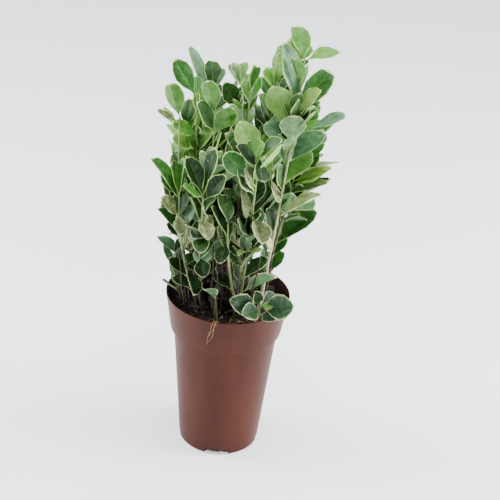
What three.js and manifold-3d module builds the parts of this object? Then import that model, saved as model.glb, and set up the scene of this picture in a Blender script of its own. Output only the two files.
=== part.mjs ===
// A young variegated euonymus in a tall round nursery pot.
//
// Millimetres, +Z up. The origin is the centre of the pot's flat underside and -Y is the front.
// Seven rooted cuttings stand in the soil. Each has a woody stem that runs on into a leafy shoot, and most
// carry one or two boughs that fork off low down and end in leafy shoots of their own. Short basal sprigs
// grow between them. Every leafy shoot keeps to its own space: the points that lie nearer to its own line
// than to any other, where a strong shoot's line counts as nearer by its reach.
import * as THREE from "three";
import { mergeVertices } from "three/addons/utils/BufferGeometryUtils.js";
import Module from "manifold-3d";

const wasm = await Module();
wasm.setup();

// Driving dimensions of the pot
const POT_HEIGHT = 180;
const RIM_RADIUS = 65;
const COLLAR_HEIGHT = 41;
const COLLAR_FOOT_RADIUS = 58.6;
const SHOULDER_RADIUS = 54.8;
const FOOT_RADIUS = 42.7;
const POT_WALL = 1.5;
const POT_FLOOR = 2.4;
const FOOT_ROUNDING = 2;
const LEDGE_DROP = 1;
const POT_SEGMENTS = 56;
const SLOT_COUNT = 4;
const SLOT_WIDTH = 24;
const SLOT_HEIGHT = 7;
const SLOT_DEPTH = 7;

// Driving dimensions of the soil
const SOIL_TOP = 170;
const SOIL_SEGMENTS = 40;
const CLEARANCE = 0.3;

// Driving dimensions of the limbs
const STEM_FLARE_RADIUS = 3.8;
const STEM_RADIUS = 2.5;
const BOUGH_RADIUS = 2.1;
const SHOOT_RADIUS = 1.8;
const SHOOT_TIP_RADIUS = 0.9;
const SPRIG_RADIUS = 1.5;
const FLARE_HEIGHT = 3;
const STEM_SIDES = 8;
const STEM_RINGS = 5;
const BOUGH_RINGS = 4;
const SLEEVE_SHARE = 1.06;
const TWIG_SIDES = 3;
const RING_SPACING = 30;
const BOUGH_RISE = 1.9;

// Driving dimensions of the leaves
const LEAF_LENGTH = 47;
const LEAF_SLENDERNESS = 0.54;
const LEAF_KEEL = 1.6;
const LEAF_WIDEST = 0.6;
const LEAF_BLUNT = 0.36;
const LEAF_ARCH = 0.07;
const LEAF_TURN = 20;
const LEAF_LEAN = 14;
const LEAF_LEAN_MOST = 86;
const LEAF_ROLL = 36;
const LEAF_GROWTH = [0.9, 1.12];
const LEAF_APART = 8;
const SHOOT_BARE = 4;

// Driving dimensions of the pairs of leaves: the first pair's distance below the tip, the distance from
// pair to pair at the tip and what is added to it further down, and how the leaves lean and shrink
const PAIR_TOP = 3;
const PAIR_STEP = 7;
const PAIR_STRETCH = 6;
const PAIR_CROWD = 2.2;
const PAIR_DRIFT = 24;
const PAIR_LEAN_TOP = 17;
const PAIR_LEAN_STEP = 7.5;
const PAIR_LEAN_COUNT = 4;
const PAIR_SHARES = [0.62, 0.9, 1];
const PAIR_SHRINK = 0.03;
const PAIR_SHARE_LEAST = 0.7;

// Driving dimensions of the side twigs and of the space that each shoot keeps
const SIDE_TWIG_PAIR = 3;
const SIDE_TWIG_LENGTH = 34;
const SIDE_TWIG_RADIUS = 1.3;
const SIDE_LEAF_SHARE = 0.66;
const SIDE_OUT = 0.5;
const SIDE_UP = 0.85;
const SPACE_MARGIN = 0.8;
const LIMB_MARGIN = 4.5;
const SOIL_MARGIN = 1.5;
const RIM_MARGIN = 2;
const RIM_INSET = 10;
const PATH_STEPS = 24;
const SEED = 2611;
const SEED_STEP = 101;

// The cuttings: where each stem stands in the soil, how high its bare woody part reaches above it, and
// how soon it moves out to the side.
const CUTTINGS = {
  right: { foot: [31, -38], bare: 96, bow: 1.3 },
  front: { foot: [12, -33], bare: 26, bow: 1.2 },
  left: { foot: [-29, -31], bare: 27, bow: 1.2 },
  rear_left: { foot: [-34, 12], bare: 33, bow: 1.3 },
  rear: { foot: [-2, 38], bare: 34, bow: 1.2 },
  centre: { foot: [0, -4], bare: 32, bow: 1 },
  rear_right: { foot: [34, 12], bare: 56, bow: 1 },
};

// The leafy shoots: the cutting that carries each, where its growing tip stands, the height above the soil
// where its bough forks off (none for the shoot that the stem itself runs into), the height where its
// leaves begin, the compass turn of its topmost pair of leaves, the size of its leaves, and how far it
// pushes its neighbours back.
const SHOOTS = [
  { name: "tall_right", cutting: "right", tip: [57, -14, 454], from: 96, turn: 25, size: 1.15, reach: 5 },
  { name: "front_centre", cutting: "front", tip: [21, -57, 368], from: 26, turn: 140, size: 1.1, reach: 4 },
  { name: "front_low", cutting: "front", tip: [-4, -60, 292], fork: 8, from: 25, turn: 60, size: 0.9 },
  { name: "mid_left", cutting: "left", tip: [-24, -24, 390], from: 27, turn: 75, size: 1 },
  { name: "front_left", cutting: "left", tip: [-30, -63, 320], fork: 18, from: 34, turn: 20, size: 1 },
  { name: "left", cutting: "left", tip: [-54, -42, 308], fork: 7, from: 24, turn: 150, size: 0.95 },
  { name: "rear_left", cutting: "rear_left", tip: [-45, 20, 404], from: 33, turn: 160, size: 1 },
  { name: "upper_left", cutting: "rear_left", tip: [-59, -14, 380], fork: 19, from: 40, turn: 100, size: 0.85 },
  { name: "far_left", cutting: "rear_left", tip: [-57, 46, 350], fork: 10, from: 30, turn: 20, size: 0.95 },
  { name: "rear", cutting: "rear", tip: [-2, 60, 400], from: 34, turn: 45, size: 0.95 },
  { name: "rear_mid_left", cutting: "rear", tip: [-32, 66, 374], fork: 18, from: 42, turn: 120, size: 0.9 },
  { name: "rear_mid_right", cutting: "rear", tip: [33, 56, 424], fork: 10, from: 36, turn: 80, size: 0.95 },
  { name: "centre", cutting: "centre", tip: [8, -6, 410], from: 32, turn: 30, size: 1 },
  { name: "mid_right", cutting: "centre", tip: [34, -14, 350], fork: 11, from: 32, turn: 60, size: 0.9 },
  { name: "right", cutting: "rear_right", tip: [72, 20, 388], from: 56, turn: 0, size: 1 },
  { name: "far_right", cutting: "rear_right", tip: [58, 50, 356], fork: 14, from: 38, turn: 60, size: 0.9 },
];

// The basal sprigs: where each leaves the soil, how soon it moves out to the side, where its tip stands,
// the length at its foot that bears no leaves, the turn of its topmost pair of leaves, the size of its
// leaves, by how much they lie flatter than those of the shoots, and its reach.
const SPRIGS = [
  {
    name: "front_right",
    foot: [34, -45],
    bow: 0.8,
    tip: [33, -57, 207],
    bare: 22,
    turn: 112,
    size: 0.92,
    flat: 44,
    reach: 15,
  },
  {
    name: "front",
    foot: [-9, -47],
    bow: 1,
    tip: [-14, -50, 222],
    bare: 18,
    turn: 35,
    size: 0.85,
    flat: 6,
    reach: 6,
  },
  {
    name: "left",
    foot: [-48, -12],
    bow: 1,
    tip: [-56, -20, 232],
    bare: 10,
    turn: 60,
    size: 0.85,
    flat: 15,
    reach: 3,
  },
  {
    name: "rear",
    foot: [-22, 46],
    bow: 1,
    tip: [-28, 58, 230],
    bare: 10,
    turn: 0,
    size: 0.85,
    flat: 15,
    reach: 3,
  },
  {
    name: "rear_right",
    foot: [34, 40],
    bow: 1,
    tip: [45, 50, 236],
    bare: 10,
    turn: 80,
    size: 0.85,
    flat: 15,
    reach: 3,
  },
];

const DEGREE = Math.PI / 180;
const UP = new THREE.Vector3(0, 0, 1);

// A seeded row of numbers between 0 and 1, the same on every run.
function seededRandom(seed) {
  let state = seed;
  return () => {
    state = (state * 16807) % 2147483647;
    return state / 2147483647;
  };
}

// A closed geometry as a solid that can be joined and cut.
function solidOf(geometry) {
  const bare = geometry.clone();
  bare.deleteAttribute("normal");
  bare.deleteAttribute("uv");
  const merged = mergeVertices(bare, 1e-4);
  return new wasm.Manifold(
    new wasm.Mesh({
      numProp: 3,
      vertProperties: new Float32Array(merged.attributes.position.array),
      triVerts: new Uint32Array(merged.index.array),
    }),
  );
}

// A solid as a geometry. Only its largest body is kept, so scraps and sealed hollows drop out.
function geometryOf(solid) {
  const bodies = solid.decompose().sort((a, b) => b.volume() - a.volume());
  const mesh = bodies[0].getMesh();
  const positions = new Float32Array(mesh.numVert * 3);
  for (let i = 0; i < mesh.numVert; i += 1) {
    positions.set(mesh.vertProperties.subarray(i * mesh.numProp, i * mesh.numProp + 3), i * 3);
  }
  const geometry = new THREE.BufferGeometry();
  geometry.setAttribute("position", new THREE.BufferAttribute(positions, 3));
  geometry.setIndex(new THREE.BufferAttribute(new Uint32Array(mesh.triVerts), 1));
  geometry.computeVertexNormals();
  return geometry;
}

// The line that a limb follows from one point to another. It moves sideways early and straightens up
// later, and more so where rise is larger.
function limbLine(from, to, rise) {
  const at = (t) => {
    const across = 1 - Math.max(0, 1 - t) ** rise;
    return new THREE.Vector3(
      from.x + (to.x - from.x) * across,
      from.y + (to.y - from.y) * across,
      from.z + (to.z - from.z) * t,
    );
  };
  const shareAtHeight = (z) => (z - from.z) / (to.z - from.z);
  return { at, shareAtHeight };
}

// The direction of a line at a share of its length.
function directionAt(line, t) {
  const step = 0.01;
  return line.at(Math.min(1, t + step)).sub(line.at(Math.max(0, t - step))).normalize();
}

// A round limb along a line between two shares of it: a capped cylinder whose rings are carried onto the
// line, each ring square to it and as wide as radiusAt says. At the line's own start the ring lies level,
// which gives a stem its flat cut on the soil.
function limbSolid(line, start, end, radiusAt, sides, rings) {
  const cylinder = new THREE.CylinderGeometry(1, 1, 1, sides, rings);
  const position = cylinder.attributes.position;
  const vertex = new THREE.Vector3();
  for (let i = 0; i < position.count; i += 1) {
    vertex.fromBufferAttribute(position, i);
    const share = vertex.y + 0.5;
    const t = start + (end - start) * share;
    const along = t === 0 ? UP : directionAt(line, t);
    const side = new THREE.Vector3(1, 0, 0).addScaledVector(along, -along.x).normalize();
    const other = new THREE.Vector3().crossVectors(side, along);
    const point = line.at(t);
    point.addScaledVector(side, vertex.x * radiusAt(t));
    point.addScaledVector(other, vertex.z * radiusAt(t));
    position.setXYZ(i, point.x, point.y, point.z);
  }
  return solidOf(cylinder);
}

// The middle of a limb that is made with so many rings from a share of its line to the end: straight from
// ring to ring.
function chordLine(line, start, rings) {
  return (t) => {
    const ring = Math.min(rings - 1, Math.max(0, Math.floor(((t - start) / (1 - start)) * rings)));
    const from = start + ((1 - start) * ring) / rings;
    const to = start + ((1 - start) * (ring + 1)) / rings;
    return line.at(from).lerp(line.at(to), (t - from) / (to - from));
  };
}

// The corners of one leaf: its root at the twig's middle, a blade that is widest past its middle and blunt
// at its arched tip, and a keel under the midrib.
function leafCorners(root, along, face, length, width) {
  const side = new THREE.Vector3().crossVectors(face, along).normalize();
  const corner = (u, v, w) =>
    root.clone().addScaledVector(along, u).addScaledVector(side, v).addScaledVector(face, w);
  const half = width / 2;
  const widest = LEAF_WIDEST * length;
  const tip = -LEAF_ARCH * length;
  return [
    corner(0, 0, 0),
    corner(widest, half, 0),
    corner(widest, -half, 0),
    corner(widest, 0, -LEAF_KEEL),
    corner(length, LEAF_BLUNT * half, tip),
    corner(length, -LEAF_BLUNT * half, tip),
  ];
}

// The faces of a leaf over leafCorners, each turned outwards.
const LEAF_FACES = [
  [0, 2, 1],
  [0, 1, 3],
  [0, 3, 2],
  [1, 2, 5],
  [1, 5, 4],
  [1, 4, 3],
  [4, 5, 3],
  [5, 2, 3],
];

function leafSolid(corners) {
  const geometry = new THREE.BufferGeometry().setFromPoints(corners);
  geometry.setIndex(LEAF_FACES.flat());
  return solidOf(geometry);
}

// How far a point is from a line that is given as a row of points.
function distanceToPath(point, path) {
  let nearest = Infinity;
  for (let i = 1; i < path.length; i += 1) {
    const reach = new THREE.Vector3().subVectors(path[i], path[i - 1]);
    const offset = new THREE.Vector3().subVectors(point, path[i - 1]);
    const share = THREE.MathUtils.clamp(offset.dot(reach) / reach.lengthSq(), 0, 1);
    nearest = Math.min(nearest, offset.addScaledVector(reach, -share).length());
  }
  return nearest;
}

// True where a point lies in the shoot's own space, above the soil and clear of the pot.
function inSpace(point, own) {
  const spread = Math.hypot(point.x, point.y);
  if (point.z < SOIL_TOP + SOIL_MARGIN) return false;
  if (point.z < POT_HEIGHT + RIM_MARGIN && spread > RIM_RADIUS - RIM_INSET) return false;
  const room = distanceToPath(point, paths[own]) - reaches[own] + SPACE_MARGIN;
  return paths.every((path, k) => {
    if (k === own) return true;
    const distance = distanceToPath(point, path);
    return distance > LIMB_MARGIN && distance - reaches[k] > room;
  });
}

// Points on a leaf that stand for all of it: its corners but the root, and the middles between them.
function outlineOf([root, left, right, keel, leftTip, rightTip]) {
  const between = (a, b) => a.clone().lerp(b, 0.5);
  return [
    left,
    right,
    keel,
    leftTip,
    rightTip,
    between(root, left),
    between(root, right),
    between(root, keel),
    between(left, leftTip),
    between(right, rightTip),
  ];
}

// The ways a leaf gives way where it has no room: a turn round the twig, how far it leans out, its size.
const GIVES = [
  [0, 1, 1],
  [22, 1, 1],
  [-22, 1, 1],
  [0, 0.75, 1],
  [38, 0.8, 1],
  [-38, 0.8, 1],
  [0, 0.5, 0.95],
  [40, 0.5, 0.9],
  [-40, 0.5, 0.9],
  [0, 0.4, 0.75],
];

// One leaf on a twig, or nothing where it has no room. Turn is its compass direction, lean its angle from
// the twig, roll its turn about its own midrib.
function growLeaf(root, twig, { turn, lean, roll, length }, own) {
  for (const [turned, leaned, sized] of GIVES) {
    const outward = new THREE.Vector3(1, 0, 0).applyAxisAngle(UP, (turn + turned) * DEGREE);
    outward.addScaledVector(twig, -outward.dot(twig)).normalize();
    const angle = lean * leaned * DEGREE;
    const along = new THREE.Vector3().addScaledVector(twig, Math.cos(angle));
    along.addScaledVector(outward, Math.sin(angle)).normalize();
    const face = new THREE.Vector3().addScaledVector(twig, Math.sin(angle));
    face.addScaledVector(outward, -Math.cos(angle)).normalize();
    face.applyAxisAngle(along, roll * DEGREE);
    const size = length * sized;
    const corners = leafCorners(root, along, face, size, size * LEAF_SLENDERNESS);
    const middle = root.clone().addScaledVector(along, LEAF_WIDEST * size);
    const apart = middles.every((other) => other.distanceTo(middle) > LEAF_APART);
    if (apart && outlineOf(corners).every((point) => inSpace(point, own))) {
      middles.push(middle);
      return leafSolid(corners);
    }
  }
  return null;
}

// The pairs of leaves down a twig, counted from its tip: how far below the tip each pair sits, how much
// the leaves lean out, and their length as a share of full size. Pairs crowd at the tip, and the lower
// leaves are older, smaller and flatter.
function pairRule(index) {
  const stretch = PAIR_STRETCH * (1 - Math.exp(-index / PAIR_CROWD));
  return {
    below: PAIR_TOP + (PAIR_STEP + stretch) * index,
    lean: PAIR_LEAN_TOP + PAIR_LEAN_STEP * Math.min(index, PAIR_LEAN_COUNT),
    share: PAIR_SHARES[index] ?? Math.max(PAIR_SHARE_LEAST, 1 - PAIR_SHRINK * (index - 1)),
  };
}

// A twig from a share of its line to the line's tip, with pairs of leaves that each stand a quarter turn
// from the pair above. A shoot has one side twig, in the axil of a leaf where it finds room.
function growTwig(line, start, { turn, size, flat, radius, bare, seed, branches }, own) {
  const random = seededRandom(seed);
  const length = line.at(start).distanceTo(line.at(1));
  const taper = (t) => (Math.max(0, t - start) / (1 - start)) ** 1.3;
  const radiusAt = (t) => radius + (SHOOT_TIP_RADIUS - radius) * taper(t);
  const rings = Math.max(2, Math.round(length / RING_SPACING));
  const chords = chordLine(line, start, rings);
  let solid = limbSolid(line, start, 1, radiusAt, TWIG_SIDES, rings);
  let room = branches;
  for (let index = 0; pairRule(index).below < length - bare; index += 1) {
    const { below, lean, share } = pairRule(index);
    const t = 1 - ((1 - start) * below) / length;
    const root = chords(t);
    const twig = directionAt(line, t);
    const quarter = turn + 90 * index + PAIR_DRIFT * (random() - 0.5);
    for (const half of [0, 180]) {
      const leaf = {
        turn: quarter + half + LEAF_TURN * (random() - 0.5),
        lean: Math.min(LEAF_LEAN_MOST, lean + flat + LEAF_LEAN * (random() - 0.5)),
        roll: LEAF_ROLL * (random() - 0.5),
        length: LEAF_LENGTH * size * share * THREE.MathUtils.lerp(...LEAF_GROWTH, random()),
      };
      const side = index >= SIDE_TWIG_PAIR && room > 0 ? sideLine(root, leaf.turn, size) : null;
      if (side && inSpace(side.at(1), own)) {
        room -= 1;
        const small = size * SIDE_LEAF_SHARE;
        const rule = { turn: leaf.turn + 90, size: small, flat, bare, radius: SIDE_TWIG_RADIUS };
        solid = solid.add(growTwig(side, 0, { ...rule, seed: seed + 1, branches: 0 }, own));
      } else {
        const grown = growLeaf(root, twig, leaf, own);
        if (grown) solid = solid.add(grown);
      }
    }
  }
  return solid;
}

// The line of a side twig: out of the leaf's axil, then up.
function sideLine(root, turn, size) {
  const reach = SIDE_TWIG_LENGTH * size;
  const outward = new THREE.Vector3(1, 0, 0).applyAxisAngle(UP, turn * DEGREE);
  const tip = root.clone().addScaledVector(outward, SIDE_OUT * reach).addScaledVector(UP, SIDE_UP * reach);
  return limbLine(root, tip, BOUGH_RISE);
}

// The lines of every shoot and sprig, and the rows of points that measure their spaces.
const soilPoint = ([x, y]) => new THREE.Vector3(x, y, SOIL_TOP + CLEARANCE);
const leaders = {};
for (const shoot of SHOOTS.filter(({ fork }) => fork === undefined)) {
  const { foot, bow } = CUTTINGS[shoot.cutting];
  leaders[shoot.cutting] = limbLine(soilPoint(foot), new THREE.Vector3(...shoot.tip), bow);
}
function shootLine(shoot) {
  const leader = leaders[shoot.cutting];
  if (shoot.fork === undefined) return leader;
  const start = leader.at(leader.shareAtHeight(SOIL_TOP + shoot.fork));
  return limbLine(start, new THREE.Vector3(...shoot.tip), BOUGH_RISE);
}
const sprigLine = ({ foot, tip, bow }) => limbLine(soilPoint(foot), new THREE.Vector3(...tip), bow);
const lines = [...SHOOTS.map(shootLine), ...SPRIGS.map(sprigLine)];
const shares = Array.from({ length: PATH_STEPS + 1 }, (_, i) => i / PATH_STEPS);
const paths = lines.map((line) => shares.map(line.at));
const reaches = [...SHOOTS, ...SPRIGS].map(({ reach }) => reach ?? 0);
const middles = [];

const finish = (color, roughness) => new THREE.MeshStandardMaterial({ color, roughness, metalness: 0 });
const materials = {
  pot: finish(0x9a5540, 0.5),
  soil: finish(0x2b211a, 1),
  bark: finish(0x6f6a4c, 0.85),
  leaf: finish(0x4f7d3a, 0.45),
};
const plant = new THREE.Group();
function place(name, geometry, material) {
  const mesh = new THREE.Mesh(geometry, material);
  mesh.name = name;
  plant.add(mesh);
}

// The pot: a thin tapered cup with a flared collar that steps in to the body, a flat floor, and four
// drain slots cut through its bottom corner.
function potGeometry() {
  const collarFoot = POT_HEIGHT - COLLAR_HEIGHT;
  const outline = [
    [0, 0],
    [FOOT_RADIUS - FOOT_ROUNDING, 0],
    [FOOT_RADIUS, FOOT_ROUNDING],
    [SHOULDER_RADIUS, collarFoot - LEDGE_DROP],
    [COLLAR_FOOT_RADIUS, collarFoot],
    [RIM_RADIUS, POT_HEIGHT],
    [RIM_RADIUS - POT_WALL, POT_HEIGHT],
    [COLLAR_FOOT_RADIUS - POT_WALL, collarFoot + POT_WALL],
    [SHOULDER_RADIUS - POT_WALL, collarFoot],
    [FOOT_RADIUS - POT_WALL, POT_FLOOR],
    [0, POT_FLOOR],
  ].map(([radius, height]) => new THREE.Vector2(radius, height));
  let pot = solidOf(new THREE.LatheGeometry(outline, POT_SEGMENTS).rotateX(Math.PI / 2));
  for (let i = 0; i < SLOT_COUNT; i += 1) {
    const slot = new THREE.BoxGeometry(SLOT_DEPTH * 2, SLOT_WIDTH, SLOT_HEIGHT * 2);
    slot.translate(FOOT_RADIUS, 0, 0);
    slot.rotateZ(-Math.PI / 2 + (i * 2 * Math.PI) / SLOT_COUNT);
    pot = pot.subtract(solidOf(slot));
  }
  return geometryOf(pot);
}

// The root ball: soil that fills the pot up to a little below the rim.
function soilGeometry() {
  const collarFoot = POT_HEIGHT - COLLAR_HEIGHT;
  const gap = POT_WALL + 2 * CLEARANCE;
  const slope = (RIM_RADIUS - COLLAR_FOOT_RADIUS) / COLLAR_HEIGHT;
  const outline = [
    [0, POT_FLOOR + CLEARANCE],
    [FOOT_RADIUS - gap, POT_FLOOR + CLEARANCE],
    [SHOULDER_RADIUS - gap, collarFoot],
    [COLLAR_FOOT_RADIUS - gap, collarFoot + POT_WALL + 2 * CLEARANCE],
    [COLLAR_FOOT_RADIUS - gap + slope * (SOIL_TOP - collarFoot), SOIL_TOP],
    [0, SOIL_TOP],
  ].map(([radius, height]) => new THREE.Vector2(radius, height));
  return geometryOf(solidOf(new THREE.LatheGeometry(outline, SOIL_SEGMENTS).rotateX(Math.PI / 2)));
}

place("pot", potGeometry(), materials.pot);
place("soil", soilGeometry(), materials.soil);

// The woody stem of each cutting, flared where it leaves the soil.
const stems = {};
for (const [name, cutting] of Object.entries(CUTTINGS)) {
  const line = leaders[name];
  const top = line.shareAtHeight(SOIL_TOP + cutting.bare);
  const radiusAt = (t) => {
    const height = Math.max(0, line.at(t).z - SOIL_TOP);
    const flare = (STEM_FLARE_RADIUS - STEM_RADIUS) * Math.exp(-height / FLARE_HEIGHT);
    return STEM_RADIUS + flare + ((SHOOT_RADIUS - STEM_RADIUS) * t) / top;
  };
  stems[name] = { line, top, radiusAt };
  const stem = limbSolid(line, 0, top, radiusAt, STEM_SIDES, STEM_RINGS);
  place(`stem_${name}`, geometryOf(stem), materials.bark);
}

// The boughs: each starts 0.3 mm clear of its stem's bark and ends where its leaves begin. The leafy
// shoots follow on from the stems and the boughs.
SHOOTS.forEach((shoot, own) => {
  const line = lines[own];
  const start = line.shareAtHeight(SOIL_TOP + shoot.from);
  const gapShare = CLEARANCE / (line.at(1).z - line.at(0).z);
  if (shoot.fork) {
    const stem = stems[shoot.cutting];
    const radiusAt = (t) => BOUGH_RADIUS + ((SHOOT_RADIUS - BOUGH_RADIUS) * t) / start;
    const clearOfStem = (t) => stem.radiusAt(t) + CLEARANCE;
    const bough = limbSolid(line, 0, start, radiusAt, STEM_SIDES, BOUGH_RINGS);
    const sleeve = limbSolid(stem.line, 0, stem.top * SLEEVE_SHARE, clearOfStem, STEM_SIDES, STEM_RINGS);
    place(`bough_${shoot.name}`, geometryOf(bough.subtract(sleeve)), materials.bark);
  }
  const seed = SEED + SEED_STEP * own;
  const branches = shoot.fork ? 1 : 2;
  const leafy = { ...shoot, flat: 0, bare: SHOOT_BARE, radius: SHOOT_RADIUS, seed, branches };
  place(`foliage_${shoot.name}`, geometryOf(growTwig(line, start + gapShare, leafy, own)), materials.leaf);
});

SPRIGS.forEach((sprig, k) => {
  const own = SHOOTS.length + k;
  const seed = SEED + SEED_STEP * own;
  const leafy = { ...sprig, radius: SPRIG_RADIUS, seed, branches: 0 };
  place(`sprig_${sprig.name}`, geometryOf(growTwig(lines[own], 0, leafy, own)), materials.leaf);
});

export default plant;
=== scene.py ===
import math

import bpy
import numpy as np
from mathutils import Matrix, Vector


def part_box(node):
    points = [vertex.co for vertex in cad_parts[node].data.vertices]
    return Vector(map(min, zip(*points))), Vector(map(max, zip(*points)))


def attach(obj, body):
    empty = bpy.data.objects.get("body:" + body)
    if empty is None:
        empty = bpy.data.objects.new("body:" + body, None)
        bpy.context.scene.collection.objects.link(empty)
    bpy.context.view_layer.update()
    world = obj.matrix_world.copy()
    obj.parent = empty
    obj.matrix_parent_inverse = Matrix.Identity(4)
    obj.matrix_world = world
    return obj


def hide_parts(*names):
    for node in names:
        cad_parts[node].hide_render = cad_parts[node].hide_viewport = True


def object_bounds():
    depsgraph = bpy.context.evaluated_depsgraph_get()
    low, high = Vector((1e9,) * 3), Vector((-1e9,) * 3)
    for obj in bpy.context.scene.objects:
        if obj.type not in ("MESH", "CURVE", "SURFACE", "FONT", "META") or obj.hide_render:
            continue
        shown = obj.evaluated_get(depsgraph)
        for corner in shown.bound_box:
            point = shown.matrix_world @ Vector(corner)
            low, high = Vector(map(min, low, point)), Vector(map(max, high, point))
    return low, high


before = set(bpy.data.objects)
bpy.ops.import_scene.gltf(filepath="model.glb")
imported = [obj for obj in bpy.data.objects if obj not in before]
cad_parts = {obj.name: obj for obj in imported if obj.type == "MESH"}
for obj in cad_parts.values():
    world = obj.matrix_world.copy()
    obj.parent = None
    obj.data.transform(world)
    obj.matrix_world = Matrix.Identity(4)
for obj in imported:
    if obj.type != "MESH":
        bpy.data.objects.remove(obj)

cad_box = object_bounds()


# The pot: a tall nursery pot, injection-moulded in thin terracotta-coloured polypropylene. A flared collar
# steps out over the body so that empty pots stack, its lip is rounded, and four drain slots are cut
# through the corner of the foot. It is one profile turned round the axis, with the slots cut out of it.
MM = 0.001
POT_SIDES = 160
POT_WALL = 1.5 * MM
POT_FLOOR = 2.4 * MM
pot_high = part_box("pot")[1]
POT_HEIGHT = pot_high.z
RIM_RADIUS = pot_high.x
COLLAR_DROP, COLLAR_IN = 41, 6.4
COLLAR_FOOT = POT_HEIGHT - COLLAR_DROP * MM
COLLAR_FOOT_RADIUS = RIM_RADIUS - COLLAR_IN * MM
SHOULDER_RADIUS = RIM_RADIUS - 10.2 * MM
FOOT_RADIUS = RIM_RADIUS - 22.3 * MM
SLOT_SIZE = (14 * MM, 24 * MM, 14 * MM)
SLOT_COUNT = 4
PLASTIC_TONES = ("391508", "431a0b", "4e2310")
STAIN_TONES = ("3a1b17", "4a231c", "592c22")


def linear(colour):
    """An sRGB hex colour as linear RGBA: c / 12.92 for dark channels, and ((c + 0.055) / 1.055) ^ 2.4 for
    the others."""
    channels = np.array([int(colour[i : i + 2], 16) for i in (0, 2, 4)]) / 255
    bright = ((channels + 0.055) / 1.055) ** 2.4
    return (*np.where(channels <= 0.04045, channels / 12.92, bright), 1.0)


def add(tree, kind, sockets=None, **settings):
    """One node of a kind, with its settings, and its sockets set to values or linked to the outputs of
    other nodes."""
    node = tree.nodes.new(kind)
    for name, value in settings.items():
        setattr(node, name, value)
    for name, value in (sockets or {}).items():
        if isinstance(value, bpy.types.NodeSocket):
            tree.links.new(value, node.inputs[name])
        else:
            node.inputs[name].default_value = value
    return node


def finish(name, **sockets):
    """A material with the Principled shader's sockets set. Returns it, its tree and the shader."""
    material = bpy.data.materials.new(name)
    material.use_nodes = True
    tree = material.node_tree
    shader = tree.nodes["Principled BSDF"]
    for socket, value in sockets.items():
        shader.inputs[socket.replace("_", " ")].default_value = value
    return material, tree, shader


def mottle(tree, colours, size, stretch=(1, 1, 1), detail=3.0, low=0.35, high=0.65):
    """Colours dealt out by noise whose patches are size metres across, stretched along an axis where
    stretch is above 1. Returns the ramp's colour and the noise."""
    place = add(tree, "ShaderNodeTexCoord").outputs["Object"]
    scaled = add(tree, "ShaderNodeMapping", {"Vector": place, "Scale": [1 / s for s in stretch]})
    noise = add(
        tree, "ShaderNodeTexNoise", {"Vector": scaled.outputs["Vector"], "Scale": 1 / size, "Detail": detail}
    )
    ramp = add(tree, "ShaderNodeValToRGB", {"Fac": noise.outputs["Fac"]})
    stops = ramp.color_ramp.elements
    stops[0].position, stops[1].position = low, high
    stops[0].color, stops[1].color = linear(colours[0]), linear(colours[-1])
    for i, colour in enumerate(colours[1:-1], 1):
        stops.new(low + (high - low) * i / (len(colours) - 1)).color = linear(colour)
    return ramp.outputs["Color"], noise.outputs["Fac"]


def roughen(tree, shader, height, strength, depth):
    """Bumps that follow a node's output, with a strength from 0 to 1 and a depth in metres."""
    bump = add(tree, "ShaderNodeBump", {"Height": height, "Strength": strength, "Distance": depth})
    tree.links.new(bump.outputs["Normal"], shader.inputs["Normal"])


def dress(tree, shader, colours, size, stretch=(1, 1, 1), detail=3.0, low=0.35, high=0.65, bumps=None):
    """A mottled base colour. Bumps are a strength and a depth, and follow the same noise."""
    colour, grain = mottle(tree, colours, size, stretch, detail, low, high)
    tree.links.new(colour, shader.inputs["Base Color"])
    if bumps:
        roughen(tree, shader, grain, *bumps)


def rounded(corners, cuts, steps=6):
    """A profile with each corner replaced by a quadratic curve from cut before it to cut after it, plus a
    point a little further out on each side that keeps the shading of the straight stretches flat."""
    corners, cuts = np.array(corners, float), np.array(cuts, float)[:, None]
    middle = corners[1:-1]
    back = corners[:-2] - middle
    on = corners[2:] - middle
    back /= np.linalg.norm(back, axis=1, keepdims=True)
    on /= np.linalg.norm(on, axis=1, keepdims=True)
    start, end = (middle + back * cuts)[:, None], (middle + on * cuts)[:, None]
    u = np.linspace(0, 1, steps)[None, :, None]
    curve = (1 - u) ** 2 * start + 2 * u * (1 - u) * middle[:, None] + u**2 * end
    before = (middle + back * cuts * 1.4)[:, None]
    after = (middle + on * cuts * 1.4)[:, None]
    turned = np.concatenate([before, curve, after], axis=1).reshape(-1, 2)
    return np.vstack([corners[:1], turned, corners[-1:]])


def skins(rings, poles):
    """Closed skins, one for each first index: rings of points (skins, rows, around, 3) joined by quads, and
    a pole at each end (skins, 2, 3) joined to its ring by a fan. Faces point outwards where the rings
    turn anticlockwise seen from the last pole. Returns points, quads and triangles."""
    count, rows, around = rings.shape[:3]
    points = np.concatenate([rings.reshape(count, -1, 3), poles], axis=1)
    row, turn = np.meshgrid(np.arange(rows - 1), np.arange(around), indexing="ij")
    this, following = row * around + turn, row * around + (turn + 1) % around
    quads = np.stack([this, following, following + around, this + around], -1).reshape(-1, 4)
    turn = np.arange(around)
    following = (turn + 1) % around
    first = np.stack([np.full(around, rows * around), following, turn], -1)
    top = (rows - 1) * around
    last = np.stack([np.full(around, rows * around + 1), top + turn, top + following], -1)
    fans = np.concatenate([first, last])
    offset = (np.arange(count) * (rows * around + 2))[:, None, None]
    return points.reshape(-1, 3), (quads + offset).reshape(-1, 4), (fans + offset).reshape(-1, 3)


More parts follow.
